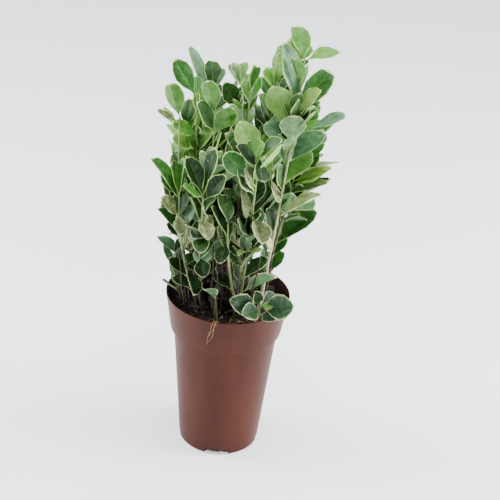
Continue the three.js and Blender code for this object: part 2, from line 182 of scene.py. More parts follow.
def piece(name, skin, materials, stands_for, finishes=None):
    """A mesh object from points, quads and triangles, smooth-shaded, with the materials in order. It rides
    on the root body and stands for the CAD nodes, which it hides. Finishes are the material numbers, quads
    first."""
    points, quads, fans = skin
    mesh = bpy.data.meshes.new(name)
    mesh.from_pydata(points.tolist(), [], quads.tolist() + fans.tolist())
    mesh.polygons.foreach_set("use_smooth", np.ones(len(mesh.polygons), bool))
    for material in materials:
        mesh.materials.append(material)
    if finishes is not None:
        mesh.polygons.foreach_set("material_index", finishes.astype(np.int32))
    made = bpy.data.objects.new(name, mesh)
    bpy.context.scene.collection.objects.link(made)
    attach(made, "root")
    if stands_for:
        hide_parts(*stands_for)
    return made


def turned(profile, sides):
    """A profile (radius, height) turned round the Z axis: x = r cos a, y = r sin a. Its first and last
    points lie on the axis and become the poles."""
    angle = np.linspace(0, 2 * math.pi, sides, endpoint=False)
    radius, height = profile[1:-1, 0, None], profile[1:-1, 1, None]
    rings = np.stack([radius * np.cos(angle), radius * np.sin(angle), height + 0 * angle], -1)
    poles = np.array([[0, 0, profile[0, 1]], [0, 0, profile[-1, 1]]])
    return rings[None], poles[None]


# Polypropylene moulded in a polished tool: a satin skin with a faint waviness, a little uneven in colour
# where it has been handled and splashed.
plastic, tree, shader = finish("terracotta polypropylene", Roughness=0.48, IOR=1.49, Specular_IOR_Level=0.16)
dress(tree, shader, PLASTIC_TONES, 34 * MM, (1, 1, 2.5), low=0.2, high=0.8)
fine = mottle(tree, ("000000", "ffffff"), 0.7 * MM)[1]
roughen(tree, shader, fine, 0.12, 0.05 * MM)

# The inside of the collar, stained by wet peat and lime.
stained, tree, shader = finish("peat-stained polypropylene", Roughness=0.6, IOR=1.49)
dress(tree, shader, STAIN_TONES, 7 * MM, detail=6.0)

outline = rounded(
    [
        (0, 0),
        (FOOT_RADIUS - 2 * MM, 0),
        (FOOT_RADIUS, 2 * MM),
        (SHOULDER_RADIUS, COLLAR_FOOT - 1 * MM),
        (COLLAR_FOOT_RADIUS, COLLAR_FOOT),
        (RIM_RADIUS, POT_HEIGHT),
        (RIM_RADIUS - POT_WALL, POT_HEIGHT),
        (COLLAR_FOOT_RADIUS - POT_WALL, COLLAR_FOOT + POT_WALL),
        (SHOULDER_RADIUS - POT_WALL, COLLAR_FOOT),
        (FOOT_RADIUS - POT_WALL, POT_FLOOR),
        (0, POT_FLOOR),
    ],
    np.array([1, 1, 1, 0.6, 0.6, 0.6, 1, 1, 1]) * MM,
)
# The stained skin starts just past the lip.
inside = np.zeros(len(outline) - 2, bool)
inside[np.argmax(outline[:, 1]) + 5 :] = True
walls = np.repeat(inside[:-1], POT_SIDES)
finishes = np.concatenate([walls, np.zeros(POT_SIDES, bool), np.ones(POT_SIDES, bool)])
pot_skin = skins(*turned(outline, POT_SIDES))
pot = piece("nursery_pot", pot_skin, [plastic, stained], ["pot"], finishes)
for i in range(SLOT_COUNT):
    angle = -math.pi / 2 + 2 * math.pi * i / SLOT_COUNT
    place = (FOOT_RADIUS * math.cos(angle), FOOT_RADIUS * math.sin(angle), 0)
    bpy.ops.mesh.primitive_cube_add(size=1, location=place)
    cutter = bpy.context.object
    cutter.scale = SLOT_SIZE
    cutter.rotation_euler.z = angle
    cut = pot.modifiers.new("slot", "BOOLEAN")
    cut.object = cutter
    cut.solver = "EXACT"
    bpy.context.view_layer.update()
    cut_mesh = bpy.data.meshes.new_from_object(pot.evaluated_get(bpy.context.evaluated_depsgraph_get()))
    pot.modifiers.clear()
    pot.data = cut_mesh
    bpy.data.objects.remove(cutter)
pot.data.set_sharp_from_angle(angle=math.radians(40))


# The peat: the root ball fills the pot to a little below its rim. It is dark, wet and crumbly, heaped up
# round the stems and settled along the wall, and its surface is a height over a grid of rings.
SOIL_SIDES = 120
SOIL_RINGS = 46
soil_low, soil_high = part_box("soil")
SOIL_TOP = soil_high.z
SOIL_RADIUS = soil_high.x
SOIL_HEAP = 2.6 * MM
SOIL_LUMP = 1.3 * MM
SOIL_GAP = 0.8 * MM
PEAT_TONES = ("0c0906", "19120d", "2c2118")


def waves(points, sizes, seed):
    """A rough height for each (x, y, z) point: sines across random directions, three for each wavelength in
    sizes, which together are as high as its share of the longest one."""
    random = np.random.default_rng(seed)
    total = np.zeros(points.shape[:-1])
    for size in sizes:
        for _ in range(3):
            direction = random.normal(size=3)
            direction /= np.linalg.norm(direction)
            phase = random.uniform(0, 2 * math.pi)
            total += size / sizes[0] * np.sin(points @ direction * 2 * math.pi / size + phase)
    return total / 3


def soil_height(x, y):
    """How high the peat lies above its CAD top: a heap in the middle that sinks to the wall, and lumps."""
    spread = np.hypot(x, y) / SOIL_RADIUS
    points = np.stack([x, y, 0 * x], -1)
    lumps = waves(points, (17 * MM, 9 * MM, 4.6 * MM, 2.7 * MM), 11)
    return SOIL_HEAP * (1 - 1.6 * spread**3) + SOIL_LUMP * lumps


# Moist sphagnum peat: nearly black and dull, with crumbs of about 2 mm.
peat, tree, shader = finish("moist peat", Roughness=0.92)
dress(tree, shader, PEAT_TONES, 2.2 * MM, detail=8.0, bumps=(0.8, 0.6 * MM))

side_profile = np.array(
    [
        (0, soil_low.z),
        (FOOT_RADIUS - POT_WALL - SOIL_GAP, soil_low.z),
        (SHOULDER_RADIUS - POT_WALL - SOIL_GAP, COLLAR_FOOT - 0.5 * MM),
        (COLLAR_FOOT_RADIUS - POT_WALL - SOIL_GAP, COLLAR_FOOT + POT_WALL),
    ]
)
reach = np.linspace(1, 0.02, SOIL_RINGS)
top_profile = np.stack([SOIL_RADIUS * reach, np.full(SOIL_RINGS, SOIL_TOP)], -1)
rings, poles = turned(np.vstack([side_profile, top_profile, [(0, SOIL_TOP)]]), SOIL_SIDES)
top_rings = rings[0, len(side_profile) - 1 :]
top_rings[..., 2] += soil_height(top_rings[..., 0], top_rings[..., 1])
poles[0, 1, 2] += soil_height(np.zeros(1), np.zeros(1))[0]
piece("peat_root_ball", skins(rings, poles), [peat], ["soil"])


# Peat crumbs, bits of bark and grit: loose lumps that lie on the surface, each a small closed pebble with
# uneven rings, sunk by a third. Most are as dark as the peat.
CRUMB_COUNT = 1500
CRUMB_ROWS = 3
CRUMB_SIDES = 6
CRUMB_LEAST, CRUMB_RANGE, CRUMB_EDGE = 0.45, 1.5, 3 * MM
# Shares of peat, bark and grit.
CRUMB_SHARES = (0.84, 0.12, 0.04)
# Composted bark is brown and dull, and the grit is pale and rough.
crumb_bark, tree, shader = finish("bark crumbs", Roughness=0.85)
dress(tree, shader, ("4c3826", "6e5336", "8a6e4a"), 1.5 * MM)
crumb_grit, tree, shader = finish("pale grit", Roughness=0.8)
dress(tree, shader, ("7d735f", "a89c84", "c4bba6"), 1.2 * MM)


def crumbs(centres, sizes, random):
    """Pebbles round the centres: rings at heights -0.6, 0 and 0.6 of a ball, each point pushed in by up to a
    quarter or out by up to a tenth, the ball squashed and turned at random."""
    count = len(centres)
    height = np.linspace(-0.6, 0.6, CRUMB_ROWS)[None, :, None]
    angle = np.linspace(0, 2 * math.pi, CRUMB_SIDES, endpoint=False)[None, None, :]
    radius = np.sqrt(1 - height**2) * random.uniform(0.75, 1.1, (count, CRUMB_ROWS, CRUMB_SIDES))
    angle = angle + random.uniform(0, 2 * math.pi, (count, 1, 1))
    rings = np.stack([radius * np.cos(angle), radius * np.sin(angle), height + 0 * radius], -1)
    poles = np.zeros((count, 2, 3))
    poles[:, 0, 2], poles[:, 1, 2] = -0.9, 0.9
    scale = sizes[:, None] * np.stack(
        [np.ones(count), random.uniform(0.6, 1, count), random.uniform(0.5, 0.9, count)], -1
    )
    rings = rings * scale[:, None, None, :] + centres[:, None, None, :]
    poles = poles * scale[:, None, :] + centres[:, None, :]
    return skins(rings, poles)


random = np.random.default_rng(5)
spread = (SOIL_RADIUS - CRUMB_EDGE) * np.sqrt(random.uniform(0, 1, CRUMB_COUNT))
angle = random.uniform(0, 2 * math.pi, CRUMB_COUNT)
x, y = spread * np.cos(angle), spread * np.sin(angle)
sizes = MM * (CRUMB_LEAST + CRUMB_RANGE * random.uniform(0, 1, CRUMB_COUNT) ** 3)
centres = np.stack([x, y, SOIL_TOP + soil_height(x, y) + 0.2 * sizes], -1)
kind = random.choice(3, CRUMB_COUNT, p=CRUMB_SHARES)
crumb_skin = crumbs(centres, sizes, random)
quad_kinds = np.repeat(kind, (CRUMB_ROWS - 1) * CRUMB_SIDES)
fan_kinds = np.repeat(kind, 2 * CRUMB_SIDES)
crumb_kinds = np.concatenate([quad_kinds, fan_kinds])
piece("peat_crumbs", crumb_skin, [peat, crumb_bark, crumb_grit], [], crumb_kinds)


# The lines of the limbs, in millimetres: seven rooted cuttings, the leafy shoots that they and their boughs
# end in, and short basal sprigs. They are the same lines as the solids follow, so each bark and leaf mesh
# lies where its solid is.
CUTTINGS = {
    "right": {"foot": (31, -38), "bare": 96, "bow": 1.3},
    "front": {"foot": (12, -33), "bare": 26, "bow": 1.2},
    "left": {"foot": (-29, -31), "bare": 27, "bow": 1.2},
    "rear_left": {"foot": (-34, 12), "bare": 33, "bow": 1.3},
    "rear": {"foot": (-2, 38), "bare": 34, "bow": 1.2},
    "centre": {"foot": (0, -4), "bare": 32, "bow": 1},
    "rear_right": {"foot": (34, 12), "bare": 56, "bow": 1},
}
# Name, cutting, tip, fork height above the peat or None, height where leaves begin, turn, leaf size, reach.
SHOOTS = [
    ("tall_right", "right", (57, -14, 454), None, 96, 25, 1.15, 5),
    ("front_centre", "front", (21, -57, 368), None, 26, 140, 1.1, 4),
    ("front_low", "front", (-4, -60, 292), 8, 25, 60, 0.9, 0),
    ("mid_left", "left", (-24, -24, 390), None, 27, 75, 1, 0),
    ("front_left", "left", (-30, -63, 320), 18, 34, 20, 1, 0),
    ("left", "left", (-54, -42, 308), 7, 24, 150, 0.95, 0),
    ("rear_left", "rear_left", (-45, 20, 404), None, 33, 160, 1, 0),
    ("upper_left", "rear_left", (-59, -14, 380), 19, 40, 100, 0.85, 0),
    ("far_left", "rear_left", (-57, 46, 350), 10, 30, 20, 0.95, 0),
    ("rear", "rear", (-2, 60, 400), None, 34, 45, 0.95, 0),
    ("rear_mid_left", "rear", (-32, 66, 374), 18, 42, 120, 0.9, 0),
    ("rear_mid_right", "rear", (33, 56, 424), 10, 36, 80, 0.95, 0),
    ("centre", "centre", (8, -6, 410), None, 32, 30, 1, 0),
    ("mid_right", "centre", (34, -14, 350), 11, 32, 60, 0.9, 0),
    ("right", "rear_right", (72, 20, 388), None, 56, 0, 1, 0),
    ("far_right", "rear_right", (58, 50, 356), 14, 38, 60, 0.9, 0),
]
# Name, foot, bow, tip, leafless length at the foot, turn, leaf size, how much flatter its leaves lie, reach.
SPRIGS = [
    ("front_right", (34, -45), 0.8, (33, -57, 207), 22, 112, 0.92, 44, 15),
    ("front", (-9, -47), 1, (-14, -50, 222), 18, 35, 0.85, 6, 6),
    ("left", (-48, -12), 1, (-56, -20, 232), 10, 60, 0.85, 15, 3),
    ("rear", (-22, 46), 1, (-28, 58, 230), 10, 0, 0.85, 15, 3),
    ("rear_right", (34, 40), 1, (45, 50, 236), 10, 80, 0.85, 15, 3),
]
GROUND = SOIL_TOP / MM + 0.3
STEM_FLARE_RADIUS, STEM_RADIUS, BOUGH_RADIUS = 3.8, 2.5, 2.1
SHOOT_RADIUS, SHOOT_TIP_RADIUS, SPRIG_RADIUS = 1.8, 0.9, 1.5
FLARE_HEIGHT = 3
BOUGH_RISE = 1.9


class Line:
    """The line that a limb follows: even in height from start to end, and sideways 1 - (1 - t) ^ rise of
    the way at share t, so that it moves out early and straightens up later."""

    def __init__(self, start, end, rise):
        self.start, self.end, self.rise = np.array(start, float), np.array(end, float), rise

    def at(self, t):
        """The points at shares t of the line."""
        t = np.asarray(t, float)[..., None]
        across = 1 - np.maximum(0, 1 - t) ** self.rise
        return self.start + (self.end - self.start) * np.concatenate([across, across, t], -1)

    def share_at(self, z):
        """The share of the line that a height stands for."""
        return (z - self.start[2]) / (self.end[2] - self.start[2])

    def direction(self, t, step=0.01):
        """Unit directions at shares t, each from a point just behind it to one just ahead."""
        t = np.asarray(t, float)
        way = self.at(np.minimum(1, t + step)) - self.at(np.maximum(0, t - step))
        return way / np.linalg.norm(way, axis=-1, keepdims=True)


def tube(middles, radii, sides, ridges=None):
    """A round limb: a ring round each point of a row, square to the row, with its radius, and a pole a
    third of a radius past each end. Ridges are shares added to the radius, one for each point."""
    along = np.gradient(middles, axis=0)
    along /= np.linalg.norm(along, axis=1, keepdims=True)
    reference = np.where(np.abs(along[:1, 0:1]) < 0.9, [[1.0, 0, 0]], [[0, 1.0, 0]])
    side = reference - along * (along @ reference[0])[:, None]
    side /= np.linalg.norm(side, axis=1, keepdims=True)
    other = np.cross(along, side)
    angle = np.linspace(0, 2 * math.pi, sides, endpoint=False)
    radius = radii[:, None] * (1 if ridges is None else 1 + ridges)
    out = np.cos(angle)[None, :, None] * side[:, None] + np.sin(angle)[None, :, None] * other[:, None]
    rings = middles[:, None] + out * radius[..., None]
    poles = np.stack([middles[0] - along[0] * radii[0] / 3, middles[-1] + along[-1] * radii[-1] / 3])
    return rings[None], poles[None]


def joined(skin_list):
    """Several skins as one: their points one after the other and their faces renumbered."""
    starts = np.cumsum([0] + [len(points) for points, _, _ in skin_list[:-1]])
    return (
        np.concatenate([points for points, _, _ in skin_list]),
        np.concatenate([quads + start for (_, quads, _), start in zip(skin_list, starts)]),
        np.concatenate([fans + start for (_, _, fans), start in zip(skin_list, starts)]),
    )


leaders = {}
for name, cutting, tip, fork, *_ in SHOOTS:
    if fork is None:
        rule = CUTTINGS[cutting]
        leaders[cutting] = Line((*rule["foot"], GROUND), tip, rule["bow"])


def shoot_line(cutting, tip, fork):
    """A shoot's line: that of its stem, or of a bough that forks off the stem at a height above the peat."""
    leader = leaders[cutting]
    if fork is None:
        return leader
    return Line(leader.at(leader.share_at(SOIL_TOP / MM + fork)), tip, BOUGH_RISE)


lines = [shoot_line(cutting, tip, fork) for _, cutting, tip, fork, *_ in SHOOTS]
lines += [Line((*foot, GROUND), tip, bow) for _, foot, bow, tip, *_ in SPRIGS]


# The woody stems and boughs: two-year-old wood under a thin bark that splits into fine ridges along the
# stem, with a swollen ring and a pair of leaf scars where each old pair of leaves stood. Each is a tube
# along its line, slimmer than its solid between the nodes, and the stems flare where they leave the peat.
BARK_SIDES = 16
BARK_STEP = 1.1
NODE_SPACING = 13
NODE_WIDTH = 1.5
NODE_SWELL = 0.16
SLIM = 0.8
RIDGE_COUNT = 5
RIDGE_HEIGHT = 0.05
BARK_FOOT = -0.01
STEM_SEED, BOUGH_SEED = 40, 60
BARK_TONES = {
    "pale": ("7d8459", "a1a679", "c2c59a"),
    "olive": ("2b271b", "484429", "676440"),
    "brown": ("1e1813", "332920", "4c4032"),
}
BARK_OF = {
    "right": "pale",
    "front": "olive",
    "left": "brown",
    "rear_left": "brown",
    "rear": "olive",
    "centre": "olive",
    "rear_right": "olive",
}


def bark_finish(tone):
    """Young bark: streaks along the stem, darker in the cracks, dull with a slight sheen on the ridges."""
    material, tree, shader = finish(f"{tone} young bark", Roughness=0.7)
    dress(tree, shader, BARK_TONES[tone], 0.9 * MM, (1, 1, 7), 5.0, 0.3, 0.7, bumps=(0.6, 0.25 * MM))
    return material


barks = {tone: bark_finish(tone) for tone in BARK_TONES}


def bark_relief(height, seed):
    """Shares added to a limb's radius: ridges as a sine round it that drifts with height, a finer roughness,
    and at every node a swelling, highest at its two leaf scars, of e ^ (-(offset / NODE_WIDTH) ^ 2)."""
    random = np.random.default_rng(seed)
    angle = np.linspace(0, 2 * math.pi, BARK_SIDES, endpoint=False)[None]
    height = height[:, None]
    drift = 0.8 * np.sin(height / 9 + random.uniform(0, 6))
    drift = drift + 0.4 * np.sin(height / 3.7 + random.uniform(0, 6))
    ridges = RIDGE_HEIGHT * np.sin(RIDGE_COUNT * angle + drift)
    rough = 0.03 * np.sin(height * 2.1 + 3 * angle + random.uniform(0, 6))
    offset = (height + random.uniform(0, NODE_SPACING)) % NODE_SPACING - NODE_SPACING / 2
    quarter = np.floor((height + NODE_SPACING) / NODE_SPACING) % 2 * math.pi / 2
    scar = 1 + 0.8 * np.cos(2 * (angle - quarter))
    return ridges + rough + NODE_SWELL * scar * np.exp(-((offset / NODE_WIDTH) ** 2))


def bark_shares(line, start, end):
    """Shares of a line between two of them, about BARK_STEP millimetres apart."""
    return np.linspace(start, end, max(4, int(np.linalg.norm(line.at(end) - line.at(start)) / BARK_STEP)))


def limb_skin(line, shares, radii, seed):
    """A limb with bark: a ring at each share of its line, with its radius."""
    middles = line.at(shares)
    rings, poles = tube(middles, SLIM * radii, BARK_SIDES, bark_relief(middles[:, 2], seed))
    return skins(rings * MM, poles * MM)


# A stem tapers evenly to its first leaves, and its flare fades as e ^ (-height / FLARE_HEIGHT).
for k, (name, cutting) in enumerate(CUTTINGS.items()):
    line = leaders[name]
    top = line.share_at(SOIL_TOP / MM + cutting["bare"])
    shares = bark_shares(line, BARK_FOOT, top)
    height = np.maximum(0, line.at(shares)[:, 2] - SOIL_TOP / MM)
    flare = (STEM_FLARE_RADIUS - STEM_RADIUS) * np.exp(-height / FLARE_HEIGHT)
    radii = STEM_RADIUS + flare + (SHOOT_RADIUS - STEM_RADIUS) * shares / top
    skin = limb_skin(line, shares, radii, STEM_SEED + k)
    piece(f"bark_stem_{name}", skin, [barks[BARK_OF[name]]], [f"stem_{name}"])

# A bough tapers evenly from its fork to its first leaves.
for own, (name, cutting, tip, fork, leafy_from, *_) in enumerate(SHOOTS):
    if fork is None:
        continue
    line = lines[own]
    end = line.share_at(SOIL_TOP / MM + leafy_from)
    shares = bark_shares(line, 0, end)
    radii = BOUGH_RADIUS + (SHOOT_RADIUS - BOUGH_RADIUS) * shares / end
    skin = limb_skin(line, shares, radii, BOUGH_SEED + own)
    piece(f"bark_bough_{name}", skin, [barks[BARK_OF[cutting]]], [f"bough_{name}"])


# The growth rule, in millimetres and degrees, as the solids follow it: pairs of leaves down each shoot from
# its tip, a quarter turn from pair to pair, side twigs in the axils of older leaves, and each leaf within
# the space that lies nearer to its own shoot than to any other. Here it goes on to finer twigs.
LEAF_LENGTH, LEAF_SLENDERNESS, LEAF_KEEL, LEAF_WIDEST = 47, 0.54, 1.6, 0.6
LEAF_BLUNT, LEAF_ARCH, LEAF_TURN, LEAF_LEAN, LEAF_LEAN_MOST = 0.36, 0.07, 20, 14, 86
LEAF_ROLL, LEAF_GROWTH, LEAF_APART, SHOOT_BARE = 36, (0.9, 1.12), 8, 4
PAIR_TOP, PAIR_STEP, PAIR_STRETCH, PAIR_CROWD, PAIR_DRIFT = 3, 7, 6, 2.2, 24
PAIR_LEAN_TOP, PAIR_LEAN_STEP, PAIR_LEAN_COUNT = 17, 7.5, 4
PAIR_SHARES, PAIR_SHRINK, PAIR_SHARE_LEAST = (0.62, 0.9, 1), 0.03, 0.7
SIDE_TWIG_PAIR, SIDE_TWIG_LENGTH, SIDE_TWIG_RADIUS, SIDE_LEAF_SHARE = 3, 34, 1.3, 0.66
SIDE_OUT, SIDE_UP, RING_SPACING, TWIG_PAST = 0.5, 0.85, 30, 2.5
SPACE_MARGIN, LIMB_MARGIN, SOIL_MARGIN, RIM_MARGIN, RIM_INSET = 0.8, 4.5, 1.5, 2, 10
PATH_STEPS, SEED, SEED_STEP = 24, 2611, 101
# How a leaf gives way where it has no room: a turn in degrees, then shares of its lean and of its length.
GIVES = (
    (0, 1, 1),
    (22, 1, 1),
    (-22, 1, 1),
    (0, 0.75, 1),
    (38, 0.8, 1),
    (-38, 0.8, 1),
    (0, 0.5, 0.95),
    (40, 0.5, 0.9),
    (-40, 0.5, 0.9),
    (0, 0.4, 0.75),
)
UP = np.array([0.0, 0.0, 1.0])
BOX_SPARE = 2.5
box_low, box_high = (np.array(corner) / MM for corner in cad_box)

path_shares = np.linspace(0, 1, PATH_STEPS + 1)
paths = np.array([line.at(path_shares) for line in lines])
path_starts, path_reaches = paths[:, :-1], np.diff(paths, axis=1)
path_squares = (path_reaches**2).sum(-1)
reaches = np.array([shoot[7] for shoot in SHOOTS] + [sprig[8] for sprig in SPRIGS], float)


def seeded_random(seed):
    """A row of numbers between 0 and 1: each state is 16807 times the last, modulo 2147483647."""
    state = seed
    while True:
        state = state * 16807 % 2147483647
        yield state / 2147483647


def distances(points):
    """How far each point is from each shoot's line, as (points, lines)."""
    offset = points[:, None, None] - path_starts
    share = np.clip((offset * path_reaches).sum(-1) / path_squares, 0, 1)
    return np.linalg.norm(offset - path_reaches * share[..., None], axis=-1).min(-1)


def in_space(points, own, spare=0.0):
    """True where all the points lie in the shoot's own space, spare millimetres larger than the solids'
    rule has it, above the soil and clear of the pot."""
    spread = np.hypot(points[:, 0], points[:, 1])
    if (points[:, 2] < SOIL_TOP / MM + SOIL_MARGIN).any():
        return False
    if ((points[:, 2] < POT_HEIGHT / MM + RIM_MARGIN) & (spread > RIM_RADIUS / MM - RIM_INSET)).any():
        return False
    if (points < box_low - BOX_SPARE).any() or (points > box_high + BOX_SPARE).any():
        return False
    away = distances(points)
    room = away[:, own] - reaches[own] - spare + SPACE_MARGIN
    others = np.arange(len(lines)) != own
    free = (away > LIMB_MARGIN) & (away - reaches > room[:, None])
    return bool(free[:, others].all())


def leaf_outline(root, along, face, length, width):
    """Points that stand for a whole leaf: its corners but the root, and middles between them."""
    side = np.cross(face, along)
    side /= np.linalg.norm(side)
    half = width / 2
    widest, tip = LEAF_WIDEST * length, -LEAF_ARCH * length
    left, right = root + along * widest + side * half, root + along * widest - side * half
    keel = root + along * widest - face * LEAF_KEEL
    left_tip = root + along * length + side * LEAF_BLUNT * half + face * tip
    right_tip = root + along * length - side * LEAF_BLUNT * half + face * tip
    ends = [left, right, keel, left_tip, right_tip]
    pairs = [(root, left), (root, right), (root, keel), (left, left_tip), (right, right_tip)]
    return np.array(ends + [(a + b) / 2 for a, b in pairs])


def compass(turn):
    """The level direction (cos turn, sin turn, 0), with the turn in degrees."""
    return np.array([math.cos(math.radians(turn)), math.sin(math.radians(turn)), 0])


def turned_about(vector, axis, degrees):
    """A vector turned round an axis that is square to it."""
    angle = math.radians(degrees)
    return vector * math.cos(angle) + np.cross(axis, vector) * math.sin(angle)


def leaf_axes(twig, turn, lean, roll):
    """A leaf's directions on a twig: along its midrib, lean degrees off the twig towards the compass turn,
    and square to its upper face, rolled about the midrib."""
    outward = compass(turn)
    outward = outward - twig * (outward @ twig)
    outward /= np.linalg.norm(outward)
    angle = math.radians(lean)
    along = twig * math.cos(angle) + outward * math.sin(angle)
    along /= np.linalg.norm(along)
    face = twig * math.sin(angle) - outward * math.cos(angle)
    return along, turned_about(face / np.linalg.norm(face), along, roll)
